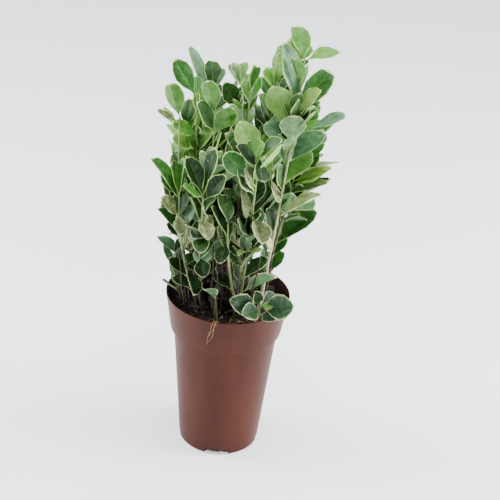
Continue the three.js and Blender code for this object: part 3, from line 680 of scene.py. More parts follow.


# The leaves that show best from the front grow first. Shoot, height of the leaf's root, turn, lean, roll,
# length, width as a share of the length, and tone. The tone is partly the leaf's own colour and partly
# painted light and shade: a paler tone on a leaf that lies in shade here, a darker one on a leaf that
# catches a bright reflection.
SEEN = [
    ("upper_left", 380, 156, 22, 100, 35, 0.58, "soft"),
    ("rear_left", 387, 172, 31, -50, 46, 0.46, "leaf"),
    ("rear_mid_left", 370, 168, 27, -5, 59, 0.50, "grey"),
    ("rear_mid_left", 374, 95, 39, 20, 36, 0.58, "dark"),
    ("rear_left", 389, 99, 54, -20, 24, 0.62, "leaf"),
    ("mid_left", 390, 154, 20, 95, 35, 0.58, "soft"),
    ("rear", 360, 186, 31, -65, 36, 0.58, "dark"),
    ("centre", 392, 87, 46, -15, 38, 0.58, "bright"),
    ("rear", 386, 117, 49, 10, 30, 0.58, "cream"),
    ("rear", 389, 88, 54, -30, 28, 0.58, "fresh"),
    ("rear_mid_left", 374, 61, 44, -20, 30, 0.58, "grey"),
    ("rear", 386, 142, 44, 0, 28, 0.58, "grey"),
    ("centre", 410, 73, 50, -35, 28, 0.58, "leaf"),
    ("rear", 386, 101, 57, 40, 28, 0.58, "bright"),
    ("rear_mid_left", 351, 61, 66, 0, 30, 0.58, "dark"),
    ("rear_mid_right", 343, 127, 60, 5, 36, 0.58, "dark"),
    ("centre", 385, 82, 66, -35, 30, 0.58, "leaf"),
    ("rear_mid_right", 372, 124, 54, 10, 34, 0.58, "mid"),
    ("rear_mid_right", 355, 117, 54, 10, 32, 0.58, "mid"),
    ("centre", 403, 84, 34, 65, 34, 0.62, "bright"),
    ("centre", 356, 121, 14, 30, 40, 0.58, "mid"),
    ("rear_mid_left", 359, 70, 47, -5, 28, 0.58, "dark"),
    ("far_left", 341, 45, 15, 15, 33, 0.58, "dark"),
    ("mid_left", 371, 194, 30, -35, 38, 0.62, "dark"),
    ("mid_left", 372, 110, 50, 40, 34, 0.58, "fresh"),
    ("mid_left", 369, 337, 28, -55, 38, 0.58, "soft"),
    ("front_centre", 357, 158, 31, 105, 46, 0.58, "bright"),
    ("rear_mid_right", 343, 129, 40, 20, 40, 0.58, "mid"),
    ("rear_mid_right", 322, 164, 28, -10, 45, 0.58, "dark"),
    ("centre", 328, 177, 31, -15, 40, 0.70, "mid"),
    ("rear_left", 318, 190, 18, -35, 34, 0.62, "fresh"),
    ("rear_left", 349, 214, 62, -45, 32, 0.58, "bright"),
    ("rear_left", 331, 209, 57, -40, 32, 0.62, "lime"),
    ("rear_left", 327, 354, 32, 25, 36, 0.70, "fresh"),
    ("upper_left", 374, 190, 60, -10, 26, 0.58, "faded"),
    ("tall_right", 449, 113, 42, 0, 36, 0.58, "bright"),
    ("tall_right", 449, 30, 82, 5, 40, 0.58, "fresh"),
    ("tall_right", 398, 165, 20, -20, 69, 0.42, "grey"),
    ("rear_mid_right", 390, 148, 3, 70, 36, 0.58, "bright"),
    ("rear_mid_right", 382, 113, 49, 20, 32, 0.58, "fresh"),
    ("rear_mid_right", 389, 190, 39, -30, 24, 0.66, "fresh"),
    ("tall_right", 425, 220, 28, 5, 32, 0.58, "soft"),
    ("tall_right", 413, 77, 43, -45, 34, 0.58, "fresh"),
    ("tall_right", 393, 43, 42, 10, 56, 0.50, "dull"),
    ("tall_right", 381, 345, 26, 30, 48, 0.58, "lime"),
    ("tall_right", 375, 196, 31, 65, 56, 0.54, "bright"),
    ("tall_right", 363, 138, 75, -35, 38, 0.58, "grey"),
    ("right", 363, 354, 54, 10, 42, 0.58, "grey"),
    ("right", 355, 60, 55, -20, 26, 0.58, "bright"),
    ("tall_right", 343, 29, 50, 10, 50, 0.58, "grey"),
    ("right", 320, 36, 46, -10, 39, 0.58, "leaf"),
    ("tall_right", 318, 46, 39, 5, 47, 0.58, "fresh"),
    ("right", 300, 0, 50, 10, 42, 0.58, "lime"),
    ("right", 318, 12, 68, -20, 46, 0.58, "cream"),
    ("right", 281, 24, 56, -20, 53, 0.54, "black"),
    ("tall_right", 285, 2, 49, 5, 52, 0.54, "cream"),
    ("right", 231, 38, 46, 5, 59, 0.50, "mid"),
    ("right", 216, 46, 39, -20, 28, 0.58, "mid"),
    ("tall_right", 266, 200, 24, -50, 32, 0.58, "black"),
    ("front_centre", 296, 64, 67, -20, 42, 0.58, "black"),
    ("front_centre", 297, 294, 106, -15, 36, 0.58, "faded"),
    ("front_centre", 294, 314, 121, -35, 40, 0.58, "cream"),
    ("front_centre", 363, 329, 39, 35, 36, 0.58, "moss"),
    ("front_centre", 364, 282, 118, -30, 28, 0.58, "black"),
    ("mid_right", 325, 299, 129, -35, 30, 0.58, "faded"),
    ("tall_right", 312, 205, 16, -60, 32, 0.58, "moss"),
    ("right", 290, 79, 50, -30, 28, 0.58, "black"),
    ("right", 291, 348, 54, 0, 44, 0.58, "faded"),
    ("far_right", 194, 43, 26, 15, 32, 0.54, "leaf"),
    ("right", 305, 23, 64, -10, 44, 0.58, "lime"),
    ("left", 305, 143, 51, 20, 50, 0.58, "leaf"),
    ("left", 305, 110, 37, 45, 40, 0.62, "leaf"),
    ("left", 308, 88, 37, -65, 40, 0.58, "bright"),
    ("front_left", 320, 126, 45, 5, 44, 0.50, "night"),
    ("front_left", 320, 74, 34, -45, 50, 0.54, "night"),
    ("front_left", 315, 345, 33, 65, 40, 0.46, "night"),
    ("front_left", 319, 208, 51, -20, 28, 0.58, "bright"),
    ("centre", 312, 288, 134, -40, 40, 0.58, "cream"),
    ("front_left", 298, 288, 112, 0, 28, 0.58, "faded"),
    ("left", 288, 277, 119, 0, 24, 0.58, "faded"),
    ("left", 265, 136, 54, 25, 38, 0.58, "mid"),
    ("left", 281, 82, 45, -10, 32, 0.58, "black"),
    ("front_low", 275, 155, 27, 10, 38, 0.58, "night"),
    ("front_low", 290, 106, 56, 35, 36, 0.58, "dark"),
    ("left", 286, 208, 35, -45, 32, 0.58, "faded"),
    ("front_left", 282, 274, 102, 15, 30, 0.58, "dark"),
    ("front_left", 290, 120, 65, 35, 32, 0.58, "dark"),
    ("front_low", 261, 89, 66, -55, 34, 0.58, "mid"),
    ("front_centre", 320, 194, 31, -30, 40, 0.58, "dark"),
    ("front_centre", 324, 207, 25, -35, 34, 0.58, "faded"),
    ("front_centre", 352, 199, 43, -30, 36, 0.58, "black"),
    ("sprig_left", 231, 125, 78, 20, 32, 0.58, "grey"),
    ("front_left", 248, 282, 92, 10, 28, 0.62, "black"),
    ("left", 225, 284, 113, -45, 34, 0.58, "black"),
    ("front_left", 222, 120, 98, 5, 28, 0.58, "black"),
    ("front_low", 208, 134, 79, 15, 30, 0.58, "black"),
    ("left", 198, 137, 69, 10, 28, 0.58, "black"),
    ("front_low", 271, 255, 109, 5, 28, 0.58, "black"),
    ("front_centre", 192, 120, 66, 45, 42, 0.58, "black"),
    ("right", 189, 97, 61, 5, 32, 0.66, "black"),
    ("front_centre", 202, 9, 56, -70, 42, 0.58, "dull"),
    ("front_centre", 255, 235, 82, 5, 16, 0.58, "lime"),
    ("left", 228, 71, 91, 20, 24, 0.58, "dark"),
    ("left", 213, 136, 51, 20, 31, 0.58, "black"),
    ("front_centre", 219, 43, 59, -15, 36, 0.58, "dark"),
    ("centre", 262, 120, 43, 30, 41, 0.62, "mid"),
    ("front_centre", 254, 338, 63, 5, 18, 0.58, "lime"),
    ("sprig_front_right", 193, 197, 57, -55, 38, 0.58, "sage"),
    ("sprig_front_right", 190, 232, 58, -35, 32, 0.62, "sage"),
    ("sprig_front_right", 193, 350, 69, 45, 38, 0.74, "sage"),
    ("sprig_front_right", 198, 350, 83, 30, 14, 0.66, "fresh"),
    ("sprig_front_right", 197, 177, 13, -60, 22, 0.58, "black"),
    ("sprig_front_right", 197, 49, 93, 25, 24, 0.62, "black"),
    ("sprig_front_right", 186, 316, 67, 20, 26, 0.66, "sage"),
]
# Above these heights a shoot grows no other leaves.
SEEN_TOPS = {
    "tall_right": 402,
    "front_centre": 350,
    "upper_left": 296,
    "front_left": 306,
    "left": 292,
    "mid_left": 380,
    "right": 352,
    "sprig_front_right": 180,
}
# The other leaves keep SIGHT_CLEAR off the lines from these shares of a seen leaf to the eye, which is at
# CAMERA_PLACE, in metres.
SIGHT_ALONG, SIGHT_ACROSS = (0.35, 0.55, 0.75, 0.92), (-0.3, 0, 0.3)
SIGHT_CLEAR, SIGHT_START = 2.4, 3
CAMERA_PLACE = (0.0145, -1.361, 0.976)
# Where the plant is open to the light behind it: x and z on the upright plane through the pot's middle.
OPENINGS = [
    (-58, 388), (-55, 394), (-51, 399), (-59, 382), (-66, 377), (-65, 383), (-79, 367), (-78, 358),
    (-77, 349), (-76, 340), (-71, 330), (-81, 334), (-82, 388), (-79, 395), (-81, 298), (-78, 292),
    (-82, 287), (-82, 226), (-76, 221), (-79, 211), (-73, 207), (-70, 217), (-70, 202), (-88, 209),
    (-81, 201), (-88, 196), (-74, 170), (-70, 177), (-80, 164), (-85, 184), (19, 470), (25, 464),
    (31, 469), (24, 456), (22, 443), (38, 468), (65, 463), (69, 461), (63, 470), (-8, 439), (-3, 442),
    (-7, 432), (2, 443), (-12, 429), (-33, 441), (-27, 442), (62, 243), (65, 232), (59, 225), (58, 217),
    (-55, 434), (-45, 443), (-53, 425), (-52, 420), (-56, 426), (-51, 430), (-40, 322), (-43, 325),
    (-37, 317), (-82, 261), (-76, 251), (-70, 246), (-81, 266),
]
OPENING_CLEAR, OPENING_BACK = 4.0, 150
# The middle of every leaf so far, with room for more, which are far off until they grow.
MOST_LEAVES, FAR_OFF = 6000, 1e6
middles = np.full((MOST_LEAVES, 3), FAR_OFF)
leaves, twigs = [], []
limb_names = [row[0] for row in SHOOTS] + [f"sprig_{row[0]}" for row in SPRIGS]
for name, height, turn, lean, roll, length, width, tone in SEEN:
    own = limb_names.index(name)
    line, share = lines[own], lines[own].share_at(height)
    root, twig = line.at(share), line.direction(share)
    along, face = leaf_axes(twig, turn, lean, roll)
    middles[len(leaves)] = root + along * LEAF_WIDEST * length
    grown = {"own": own, "age": 0, "root": root, "along": along, "face": face, "length": length}
    leaves.append(grown | {"width": width, "tone": tone})


def face_points(leaf):
    """Points on a seen leaf: shares of its length along it, and shares of its width to either side."""
    root, along, length, width = leaf["root"], leaf["along"], leaf["length"], leaf["width"]
    side = np.cross(leaf["face"], along)
    return [root + length * (along * s + side * v * width) for s in SIGHT_ALONG for v in SIGHT_ACROSS]


sight_starts = np.concatenate([face_points(leaf) for leaf in leaves])
open_places = np.array([(x, 0.0, z) for x, z in OPENINGS])
open_ways = np.array(CAMERA_PLACE) / MM - open_places
open_ways /= np.linalg.norm(open_ways, axis=1, keepdims=True)
sight_starts = np.concatenate([sight_starts, open_places - OPENING_BACK * open_ways])
sight_ways = np.array(CAMERA_PLACE) / MM - sight_starts
sight_ways /= np.linalg.norm(sight_ways, axis=1, keepdims=True)
from_leaf = np.arange(len(sight_starts)) < len(sight_starts) - len(OPENINGS)
sight_clear = np.where(from_leaf, SIGHT_CLEAR, OPENING_CLEAR)


def hides_seen(points):
    """True where any of a leaf's points is too near to a line from a seen leaf, or from behind an opening,
    to the eye."""
    offset = points[:, None] - sight_starts
    reach = (offset * sight_ways).sum(-1)
    aside = np.linalg.norm(offset - reach[..., None] * sight_ways, axis=-1)
    return bool(((reach > SIGHT_START) & (aside < sight_clear)).any())


def grow_leaf(root, twig, turn, lean, roll, length, own, age, apart=LEAF_APART, spare=0.0):
    """One leaf on a twig, or none where it has no room. It joins the list of leaves."""
    if root[2] > SEEN_TOPS.get(limb_names[own], math.inf):
        return
    for turned_by, leaned, sized in GIVES:
        along, face = leaf_axes(twig, turn + turned_by, lean * leaned, roll)
        size = length * sized
        middle = root + along * LEAF_WIDEST * size
        if (((middles[: len(leaves)] - middle) ** 2).sum(-1) <= apart**2).any():
            continue
        points = leaf_outline(root, along, face, size, size * LEAF_SLENDERNESS)
        if in_space(points, own, spare) and not hides_seen(points):
            middles[len(leaves)] = middle
            leaf = {"own": own, "age": age, "root": root, "along": along, "face": face}
            leaves.append(leaf | {"length": size})
            return


def pair_rule(index):
    """How far below the tip a pair sits, how it leans, and its share of full leaf size."""
    below = PAIR_TOP + (PAIR_STEP + PAIR_STRETCH * (1 - math.exp(-index / PAIR_CROWD))) * index
    lean = PAIR_LEAN_TOP + PAIR_LEAN_STEP * min(index, PAIR_LEAN_COUNT)
    older = max(PAIR_SHARE_LEAST, 1 - PAIR_SHRINK * (index - 1))
    return below, lean, PAIR_SHARES[index] if index < len(PAIR_SHARES) else older


def side_line(root, turn, size):
    """The line of a side twig: out of its leaf's axil towards the turn, then up."""
    reach = SIDE_TWIG_LENGTH * size
    return Line(root, root + compass(turn) * SIDE_OUT * reach + UP * SIDE_UP * reach, BOUGH_RISE)


def chord(line, start, rings, t):
    """The point at a share of a line that runs straight from ring to ring of the solid twig."""
    ring = min(rings - 1, max(0, int((t - start) / (1 - start) * rings)))
    low, high = start + (1 - start) * ring / rings, start + (1 - start) * (ring + 1) / rings
    return line.at(low) + (line.at(high) - line.at(low)) * (t - low) / (high - low)


def grow_twig(line, start, turn, size, flat, radius, bare, seed, branches, own, age=0):
    """The pairs of leaves of a twig that starts at a share of its line, and the twig itself, which ends just
    past its highest leaf. A side twig without leaves is left out."""
    random = seeded_random(seed)
    length = np.linalg.norm(line.at(start) - line.at(1))
    rings = max(2, int(length / RING_SPACING + 0.5))
    index, high = 0, start
    while pair_rule(index)[0] < length - bare:
        below, lean, share = pair_rule(index)
        t = 1 - (1 - start) * below / length
        root, twig = chord(line, start, rings, t), line.direction(t)
        quarter = turn + 90 * index + PAIR_DRIFT * (next(random) - 0.5)
        for half in (0, 180):
            leaf_turn = quarter + half + LEAF_TURN * (next(random) - 0.5)
            leaf_lean = min(LEAF_LEAN_MOST, lean + flat + LEAF_LEAN * (next(random) - 0.5))
            roll = LEAF_ROLL * (next(random) - 0.5)
            growth = LEAF_GROWTH[0] + (LEAF_GROWTH[1] - LEAF_GROWTH[0]) * next(random)
            side = side_line(root, leaf_turn, size) if index >= SIDE_TWIG_PAIR and branches > 0 else None
            if side is not None and in_space(side.at(1)[None], own):
                branches -= 1
                small = size * SIDE_LEAF_SHARE
                rule = (leaf_turn + 90, small, flat, SIDE_TWIG_RADIUS, bare, seed + 1)
                grow_twig(side, 0, *rule, 0, own, age + index)
            else:
                before = len(leaves)
                full = LEAF_LENGTH * size * share * growth
                grow_leaf(root, twig, leaf_turn, leaf_lean, roll, full, own, age + index)
                high = max(high, t) if len(leaves) > before else high
        index += 1
    if age == 0:
        seen = [leaf for leaf in leaves if leaf["own"] == own and leaf.get("tone")]
        high = max([high] + [line.share_at(leaf["root"][2]) for leaf in seen])
    end = min(1, high + TWIG_PAST / length)
    if age == 0 or high > start:
        grown = {"own": own, "line": line, "start": start, "end": end}
        twigs.append(grown | {"radius": radius, "length": length})


for own, (name, cutting, tip, fork, leafy_from, turn, size, _) in enumerate(SHOOTS):
    line = lines[own]
    start = line.share_at(SOIL_TOP / MM + leafy_from) + 0.3 / (line.end[2] - line.start[2])
    branches = 2 if fork is None else 1
    grow_twig(line, start, turn, size, 0, SHOOT_RADIUS, SHOOT_BARE, SEED + SEED_STEP * own, branches, own)
for k, (name, foot, bow, tip, bare, turn, size, flat, _) in enumerate(SPRIGS):
    own = len(SHOOTS) + k
    grow_twig(lines[own], 0, turn, size, flat, SPRIG_RADIUS, bare, SEED + SEED_STEP * own, 0, own)


# Finer twigs: short green side shoots in the axils of older leaves, with two pairs of smaller leaves each,
# and a bud between the top leaves of every shoot. They keep to the same space, a little wider.
FINE_TWIG_LENGTH, FINE_TWIG_RADIUS, FINE_LEAF_SIZE, FINE_APART, FINE_SPARE = 26, 0.75, 0.8, 7.5, 8
FINE_OUT, FINE_UP, FINE_AGE, FINE_LEAST, FINE_CHANCE = 0.45, 0.85, 2, 24, 0.85
# Share along the twig, share of full leaf size and lean of each pair.
FINE_PAIRS = ((0.98, 0.75, 16), (0.55, 1, 30))
BUD_SHARE, BUD_LEAN, BUD_APART = 0.998, 8, 2
# The finer twigs keep off one more line to the eye, from in front of the round leaf high on the right.
FINE_SIGHT = np.array([42.4, -27.5, 392.0])
fine_way = np.array(CAMERA_PLACE) / MM - FINE_SIGHT
sight_starts = np.vstack([sight_starts, FINE_SIGHT])
sight_ways = np.vstack([sight_ways, fine_way / np.linalg.norm(fine_way)])
sight_clear = np.append(sight_clear, OPENING_CLEAR)
fine_random = np.random.default_rng(77)
for leaf in list(leaves):
    if leaf["age"] < FINE_AGE or leaf["length"] < FINE_LEAST or fine_random.random() > FINE_CHANCE:
        continue
    outward = leaf["along"] * np.array([1, 1, 0])
    reach = FINE_TWIG_LENGTH * fine_random.uniform(0.6, 1.3)
    tip = leaf["root"] + outward * FINE_OUT * reach + UP * FINE_UP * reach
    fine_line = Line(leaf["root"], tip, BOUGH_RISE)
    own, turn = leaf["own"], fine_random.uniform(0, 360)
    if not in_space(tip[None], own, FINE_SPARE):
        continue
    before = len(leaves)
    for index, (t, share, lean) in enumerate(FINE_PAIRS):
        for half in (0, 180):
            length = LEAF_LENGTH * FINE_LEAF_SIZE * share * fine_random.uniform(0.8, 1.2)
            roll = LEAF_ROLL * fine_random.uniform(-0.5, 0.5)
            leaf_turn = turn + 90 * index + half
            root, twig = fine_line.at(t), fine_line.direction(t)
            grow_leaf(root, twig, leaf_turn, lean, roll, length, own, leaf["age"], FINE_APART, FINE_SPARE)
    if len(leaves) > before:
        reached = fine_line.share_at(max(leaf["root"][2] for leaf in leaves[before:]))
        fine_twig = {"own": own, "line": fine_line, "start": 0, "end": min(1, reached + 0.04)}
        twigs.append(fine_twig | {"radius": FINE_TWIG_RADIUS, "length": reach})
for own, line in enumerate(lines):
    for half in (0, 180):
        turn, length = fine_random.uniform(-20, 20) + half, fine_random.uniform(9, 14)
        root, twig = line.at(BUD_SHARE), line.direction(1)
        grow_leaf(root, twig, turn, BUD_LEAN, 0, length, own, 0, BUD_APART, FINE_SPARE)


# The leafy twigs: this year's wood, green and slightly square, olive lower down, with a swelling where each
# pair of leaves sits. All the twigs of a shoot are one piece.
TWIG_SIDES = 8
TWIG_STEP = 2.5
TWIG_SQUARE, TWIG_SWELL, TWIG_NODES = 0.05, 0.14, 12
PALE_SHOOTS = ("tall_right",)
OLD_WOOD_SHARE = 0.45
# Young wood has a waxy green skin. It turns dull and olive with age, or pale where the sun reaches it.
twig_green, tree, shader = finish("green twig skin", Roughness=0.5)
dress(tree, shader, ("5f7a35", "7b9248", "94a85d"), 1.5 * MM, (1, 1, 6))
twig_olive, tree, shader = finish("olive twig skin", Roughness=0.6)
dress(tree, shader, ("3c4226", "555a35", "707347"), 1.2 * MM, (1, 1, 6))
twig_pale, tree, shader = finish("pale twig skin", Roughness=0.6)
dress(tree, shader, ("6f8046", "8d9a60", "abb47e"), 1.2 * MM, (1, 1, 6))
twig_finishes = [twig_green, twig_olive, twig_pale]
GREEN, OLIVE, PALE = range(3)


def twig_skin(twig):
    """A twig's tube, which tapers with its share ^ 1.3, is slightly square and swells at its nodes with the
    sixth power of a cosine, and the material number of each of its faces."""
    rows = max(5, int(twig["length"] / TWIG_STEP))
    t = np.linspace(twig["start"], twig["end"], rows)
    share = (t - twig["start"]) / (twig["end"] - twig["start"])
    tip_radius = min(SHOOT_TIP_RADIUS, 0.7 * twig["radius"])
    radii = SLIM * (twig["radius"] + (tip_radius - twig["radius"]) * share**1.3)
    square = TWIG_SQUARE * np.cos(4 * np.linspace(0, 2 * math.pi, TWIG_SIDES, endpoint=False))[None]
    waves_along = np.cos(2 * math.pi * share * twig["length"] / TWIG_NODES)
    swell = TWIG_SWELL * np.maximum(0, waves_along)[:, None] ** 6
    rings, poles = tube(twig["line"].at(t), radii, TWIG_SIDES, square + swell)
    woody = twig["radius"] > SIDE_TWIG_RADIUS
    old_wood = (PALE if limb_names[twig["own"]] in PALE_SHOOTS else OLIVE) if woody else GREEN
    old_share = 1 if twig["own"] >= len(SHOOTS) else OLD_WOOD_SHARE
    old = np.repeat(np.where(share[:-1] < old_share, old_wood, GREEN), TWIG_SIDES)
    ends = np.repeat([old_wood, GREEN], TWIG_SIDES)
    return skins(rings * MM, poles * MM), old, ends


MASSES = [f"foliage_{shoot[0]}" for shoot in SHOOTS] + [f"sprig_{sprig[0]}" for sprig in SPRIGS]
for own, mass in enumerate(MASSES):
    made = [twig_skin(twig) for twig in twigs if twig["own"] == own]
    finishes = np.concatenate([old for _, old, _ in made] + [ends for _, _, ends in made])
    piece(f"{mass}_twigs", joined([skin for skin, _, _ in made]), twig_finishes, [], finishes)


# The leaves: thick, leathery and evergreen, obovate with a blunt tip, glossy dark green above and paler and
# duller below, with an uneven cream margin. Each is a closed flat tube carried along its midrib: a round
# stalk that widens into a folded, arched and slightly twisted blade. All of a shoot's leaves are one piece.
# Shares of a leaf's length where its rings sit. Round a ring: the side of the midrib that a point is on,
# 1 where it is set in by the margin, and how far down it is from the upper skin, as a share of the blade.
LEAF_ROWS = np.array([0.1, 0.22, 0.4, 0.6, 0.8, 0.95])
RING_SIDES = np.array([1, 1, 0, -1, -1, -1, 0, 1])
RING_INNER = np.array([0, 1, 1, 1, 0, 1, 1, 1])
RING_BELOW = np.array([0.5, 0, 0, 0, 0.5, 1, 1, 1])
STALK_SHARE, STALK_RADIUS, STALK_BLEND = 0.1, 0.6, 0.12
BLADE_THICKNESS, MIDRIB_DEPTH = 0.4, 0.5
# The darkest, the middle and the palest patches of each skin.
LEAF_COLOURS = {
    "fresh": ("558c2d", "69a144", "7fb259"),
    "bright": ("337019", "468527", "5c973b"),
    "mid": ("235818", "316b24", "458034"),
    "dark": ("1b3a14", "284f1c", "3b642a"),
    "deep": ("0c200d", "142f12", "20441b"),
    "grey": ("446f4b", "5e8a63", "7aa57c"),
    "sage": ("17341f", "27482c", "3f6642"),
    "faded": ("4c5832", "727c4f", "a0a87c"),
    "lime margin": ("95c058", "aad072", "bfdd88"),
    "cream margin": ("b2ce78", "cbdf9a", "e2eeb8"),
    "dull margin": ("82915a", "a4b17b", "c7d0a2"),
    "pale underside": ("66983e", "7bab51", "90be67"),
    "green underside": ("437629", "578b3b", "6da051"),
    "grey underside": ("4d7642", "618a54", "789f6a"),
    "dark underside": ("2a4626", "3a5a33", "4e7144"),
    "stalk": ("7b963f", "94ab54", "acbf72"),
}
LEAF_SLOTS = list(LEAF_COLOURS)
# Old leaves hang below this height, which rises towards the front. Their darker greens, margins and
# undersides are partly their age and partly painted shade from the foliage above.
LOW_HEIGHT, LOW_SLOPE = 275, 0.6
# The side veins are a sine of the share along, about seven pairs of them, slanted by the share across.
VEIN_RATE, VEIN_SLANT = 44.0, -9.0
# Roughness and specular level of the waxy upper skins, and how pale their veins are. Other skins are matt.
GLOSSY, SATIN, DULL, MATT = (0.38, 0.42, 0.26), (0.48, 0.26, 0.17), (0.5, 0.14, 0.15), (0.55, 0.3, 0.28)
SHINE = {
    "fresh": GLOSSY,
    "bright": GLOSSY,
    "mid": GLOSSY,
    "dark": SATIN,
    "grey": SATIN,
    "sage": SATIN,
    "deep": DULL,
}


def leaf_finish(name):
    """Leaf skin: waxy above and matt below, mottled, with a sunk midrib and side veins that run forward
    from it. The veins follow the leaf's own place attribute: share along, share across."""
    rough, shine, vein = SHINE.get(name, MATT)
    material, tree, shader = finish(f"{name} leaf", Roughness=rough, Specular_IOR_Level=shine)
    colour, grain = mottle(tree, LEAF_COLOURS[name], 6 * MM, detail=6.0, low=0.3, high=0.7)
    place = add(tree, "ShaderNodeAttribute", attribute_name="leaf_place")
    axes = add(tree, "ShaderNodeSeparateXYZ", {"Vector": place.outputs["Vector"]}).outputs
    off = add(tree, "ShaderNodeMath", {0: axes["Y"]}, operation="ABSOLUTE").outputs[0]
    along = add(tree, "ShaderNodeMath", {0: axes["X"], 1: VEIN_RATE}, operation="MULTIPLY").outputs[0]
    slanted = add(tree, "ShaderNodeMath", {0: off, 1: VEIN_SLANT, 2: along}, operation="MULTIPLY_ADD")
    wave = add(tree, "ShaderNodeMath", {0: slanted.outputs[0]}, operation="SINE").outputs[0]
    veins = add(tree, "ShaderNodeMapRange", {"Value": wave, "From Min": 0.7, "To Max": 0.45}).outputs[0]
    middle = add(tree, "ShaderNodeMapRange", {"Value": off, "From Min": 0.08, "From Max": 0.02}).outputs[0]
    lines = add(tree, "ShaderNodeMath", {0: veins, 1: middle}, operation="MAXIMUM").outputs[0]
    faint = add(tree, "ShaderNodeMath", {0: lines, 1: vein}, operation="MULTIPLY").outputs[0]
    light = linear(LEAF_COLOURS["pale underside" if name in SHINE else name][-1])
    veined = add(tree, "ShaderNodeMix", {0: faint, 6: colour, 7: light}, data_type="RGBA")
    tree.links.new(veined.outputs[2], shader.inputs["Base Color"])
    roughen(tree, shader, lines, 0.35, 0.2 * MM)
    return material


leaf_materials = [leaf_finish(name) for name in LEAF_SLOTS]


def leaf_rings(placed):
    """Rings and poles of many leaves at once. At share s along a leaf the blade's half width is half the
    leaf's width times sin(pi q^form)^(1 - blunt q), q the share past the stalk. The blade rises from its
    midrib by the fold, rolls down at its edges by the curl, waves along them, bends down by arch times
    s squared and turns about its midrib by the twist. Also returns each point's share along and across."""
    keys = ("length", "width", "form", "blunt", "fold", "curl", "wave", "waves", "phase", "twist", "arch")
    length, width, form, blunt, fold, curl, wave, waves, phase, twist, arch = (
        placed[key][:, None, None] for key in keys
    )
    s = LEAF_ROWS[None, :, None]
    q = (s - STALK_SHARE) / (1 - STALK_SHARE)
    half = 0.5 * width * np.sin(np.pi * q**form) ** (1 - blunt * q) + 1e-3
    inner = np.clip(1 - placed["margin"] / half, 0.5, 0.95)
    across = RING_SIDES * (1 - RING_INNER * (1 - inner))
    depth = BLADE_THICKNESS * (0.5 - RING_BELOW) - MIDRIB_DEPTH * (RING_BELOW == 1) * (RING_SIDES == 0)
    lift = half * (fold * np.abs(across) - curl * across**4)
    ripple = wave * length * across**2 * np.sin(2 * np.pi * waves * s + phase + across)
    angle = np.linspace(0, 2 * np.pi, len(RING_SIDES), endpoint=False)
    grown = np.clip(q / STALK_BLEND, 0, 1)
    v = (1 - grown) * STALK_RADIUS * np.cos(angle) + grown * across * half
    w = (1 - grown) * STALK_RADIUS * np.sin(angle) + grown * (lift + ripple + depth)
    turn = twist * (s - 0.2)
    v, w = v * np.cos(turn) - w * np.sin(turn), v * np.sin(turn) + w * np.cos(turn)
    w = w - arch * length * s**2
    u = length * s * (1 - 0.5 * np.abs(arch) * s) + 0 * v
    along, side, face = (placed[key][:, None, None, :] for key in ("along", "side", "face"))
    rings = placed["root"][:, None, None, :] + u[..., None] * along
    rings = rings + v[..., None] * side + w[..., None] * face
    tip_u, tip_w = length[:, 0] * (1 - 0.5 * np.abs(arch[:, 0])), -arch[:, 0] * length[:, 0]
    tips = placed["root"] + tip_u * placed["along"] + tip_w * placed["face"]
    poles = np.stack([placed["root"], tips], axis=1)
    ring_place = np.stack([s + 0 * across, across, 0 * across], -1).reshape(len(length), -1, 3)
    pole_place = np.broadcast_to([[0.0, 0, 0], [1.0, 0, 0]], (len(length), 2, 3))
    return rings, poles, np.concatenate([ring_place, pole_place], axis=1).reshape(-1, 3)


# Upper skin, margin and underside of each tone. On the seen leaves a tone is partly painted light and shade.
SEEN_TONES = {
    "fresh": ("fresh", "lime margin", "pale underside"),
    "lime": ("lime margin", "lime margin", "pale underside"),
    "bright": ("bright", "lime margin", "pale underside"),
    "leaf": ("mid", "lime margin", "pale underside"),
    "soft": ("mid", "lime margin", "green underside"),
    "mid": ("mid", "cream margin", "pale underside"),
    "dark": ("dark", "cream margin", "grey underside"),
    "moss": ("dark", "lime margin", "pale underside"),
    "night": ("deep", "lime margin", "pale underside"),
    "black": ("deep", "dull margin", "dark underside"),
    "grey": ("grey", "cream margin", "grey underside"),
    "sage": ("sage", "dull margin", "dark underside"),
    "dull": ("mid", "cream margin", "grey underside"),
    "faded": ("faded", "cream margin", "faded"),
    "cream": ("dull margin", "cream margin", "dull margin"),
}
# The other leaves: up to these ages, counted in pairs and give or take AGE_SPREAD, a leaf is fresh, then
# bright, then mid green, and later dark.
FRESH_AGE, BRIGHT_AGE, MID_AGE, AGE_SPREAD = 0.8, 3.2, 5.2, 0.7
# The chance of a low leaf to be dark, deep and faded green, of any leaf to be greyish, and of a sprig's
# leaf to be sage green. The dark and deep greens of the low leaves are partly painted shade.
LOW_DARK, LOW_DEEP, LOW_FADED, GREYISH, SAGE = 0.9, 0.6, 0.08, 0.08, 0.75


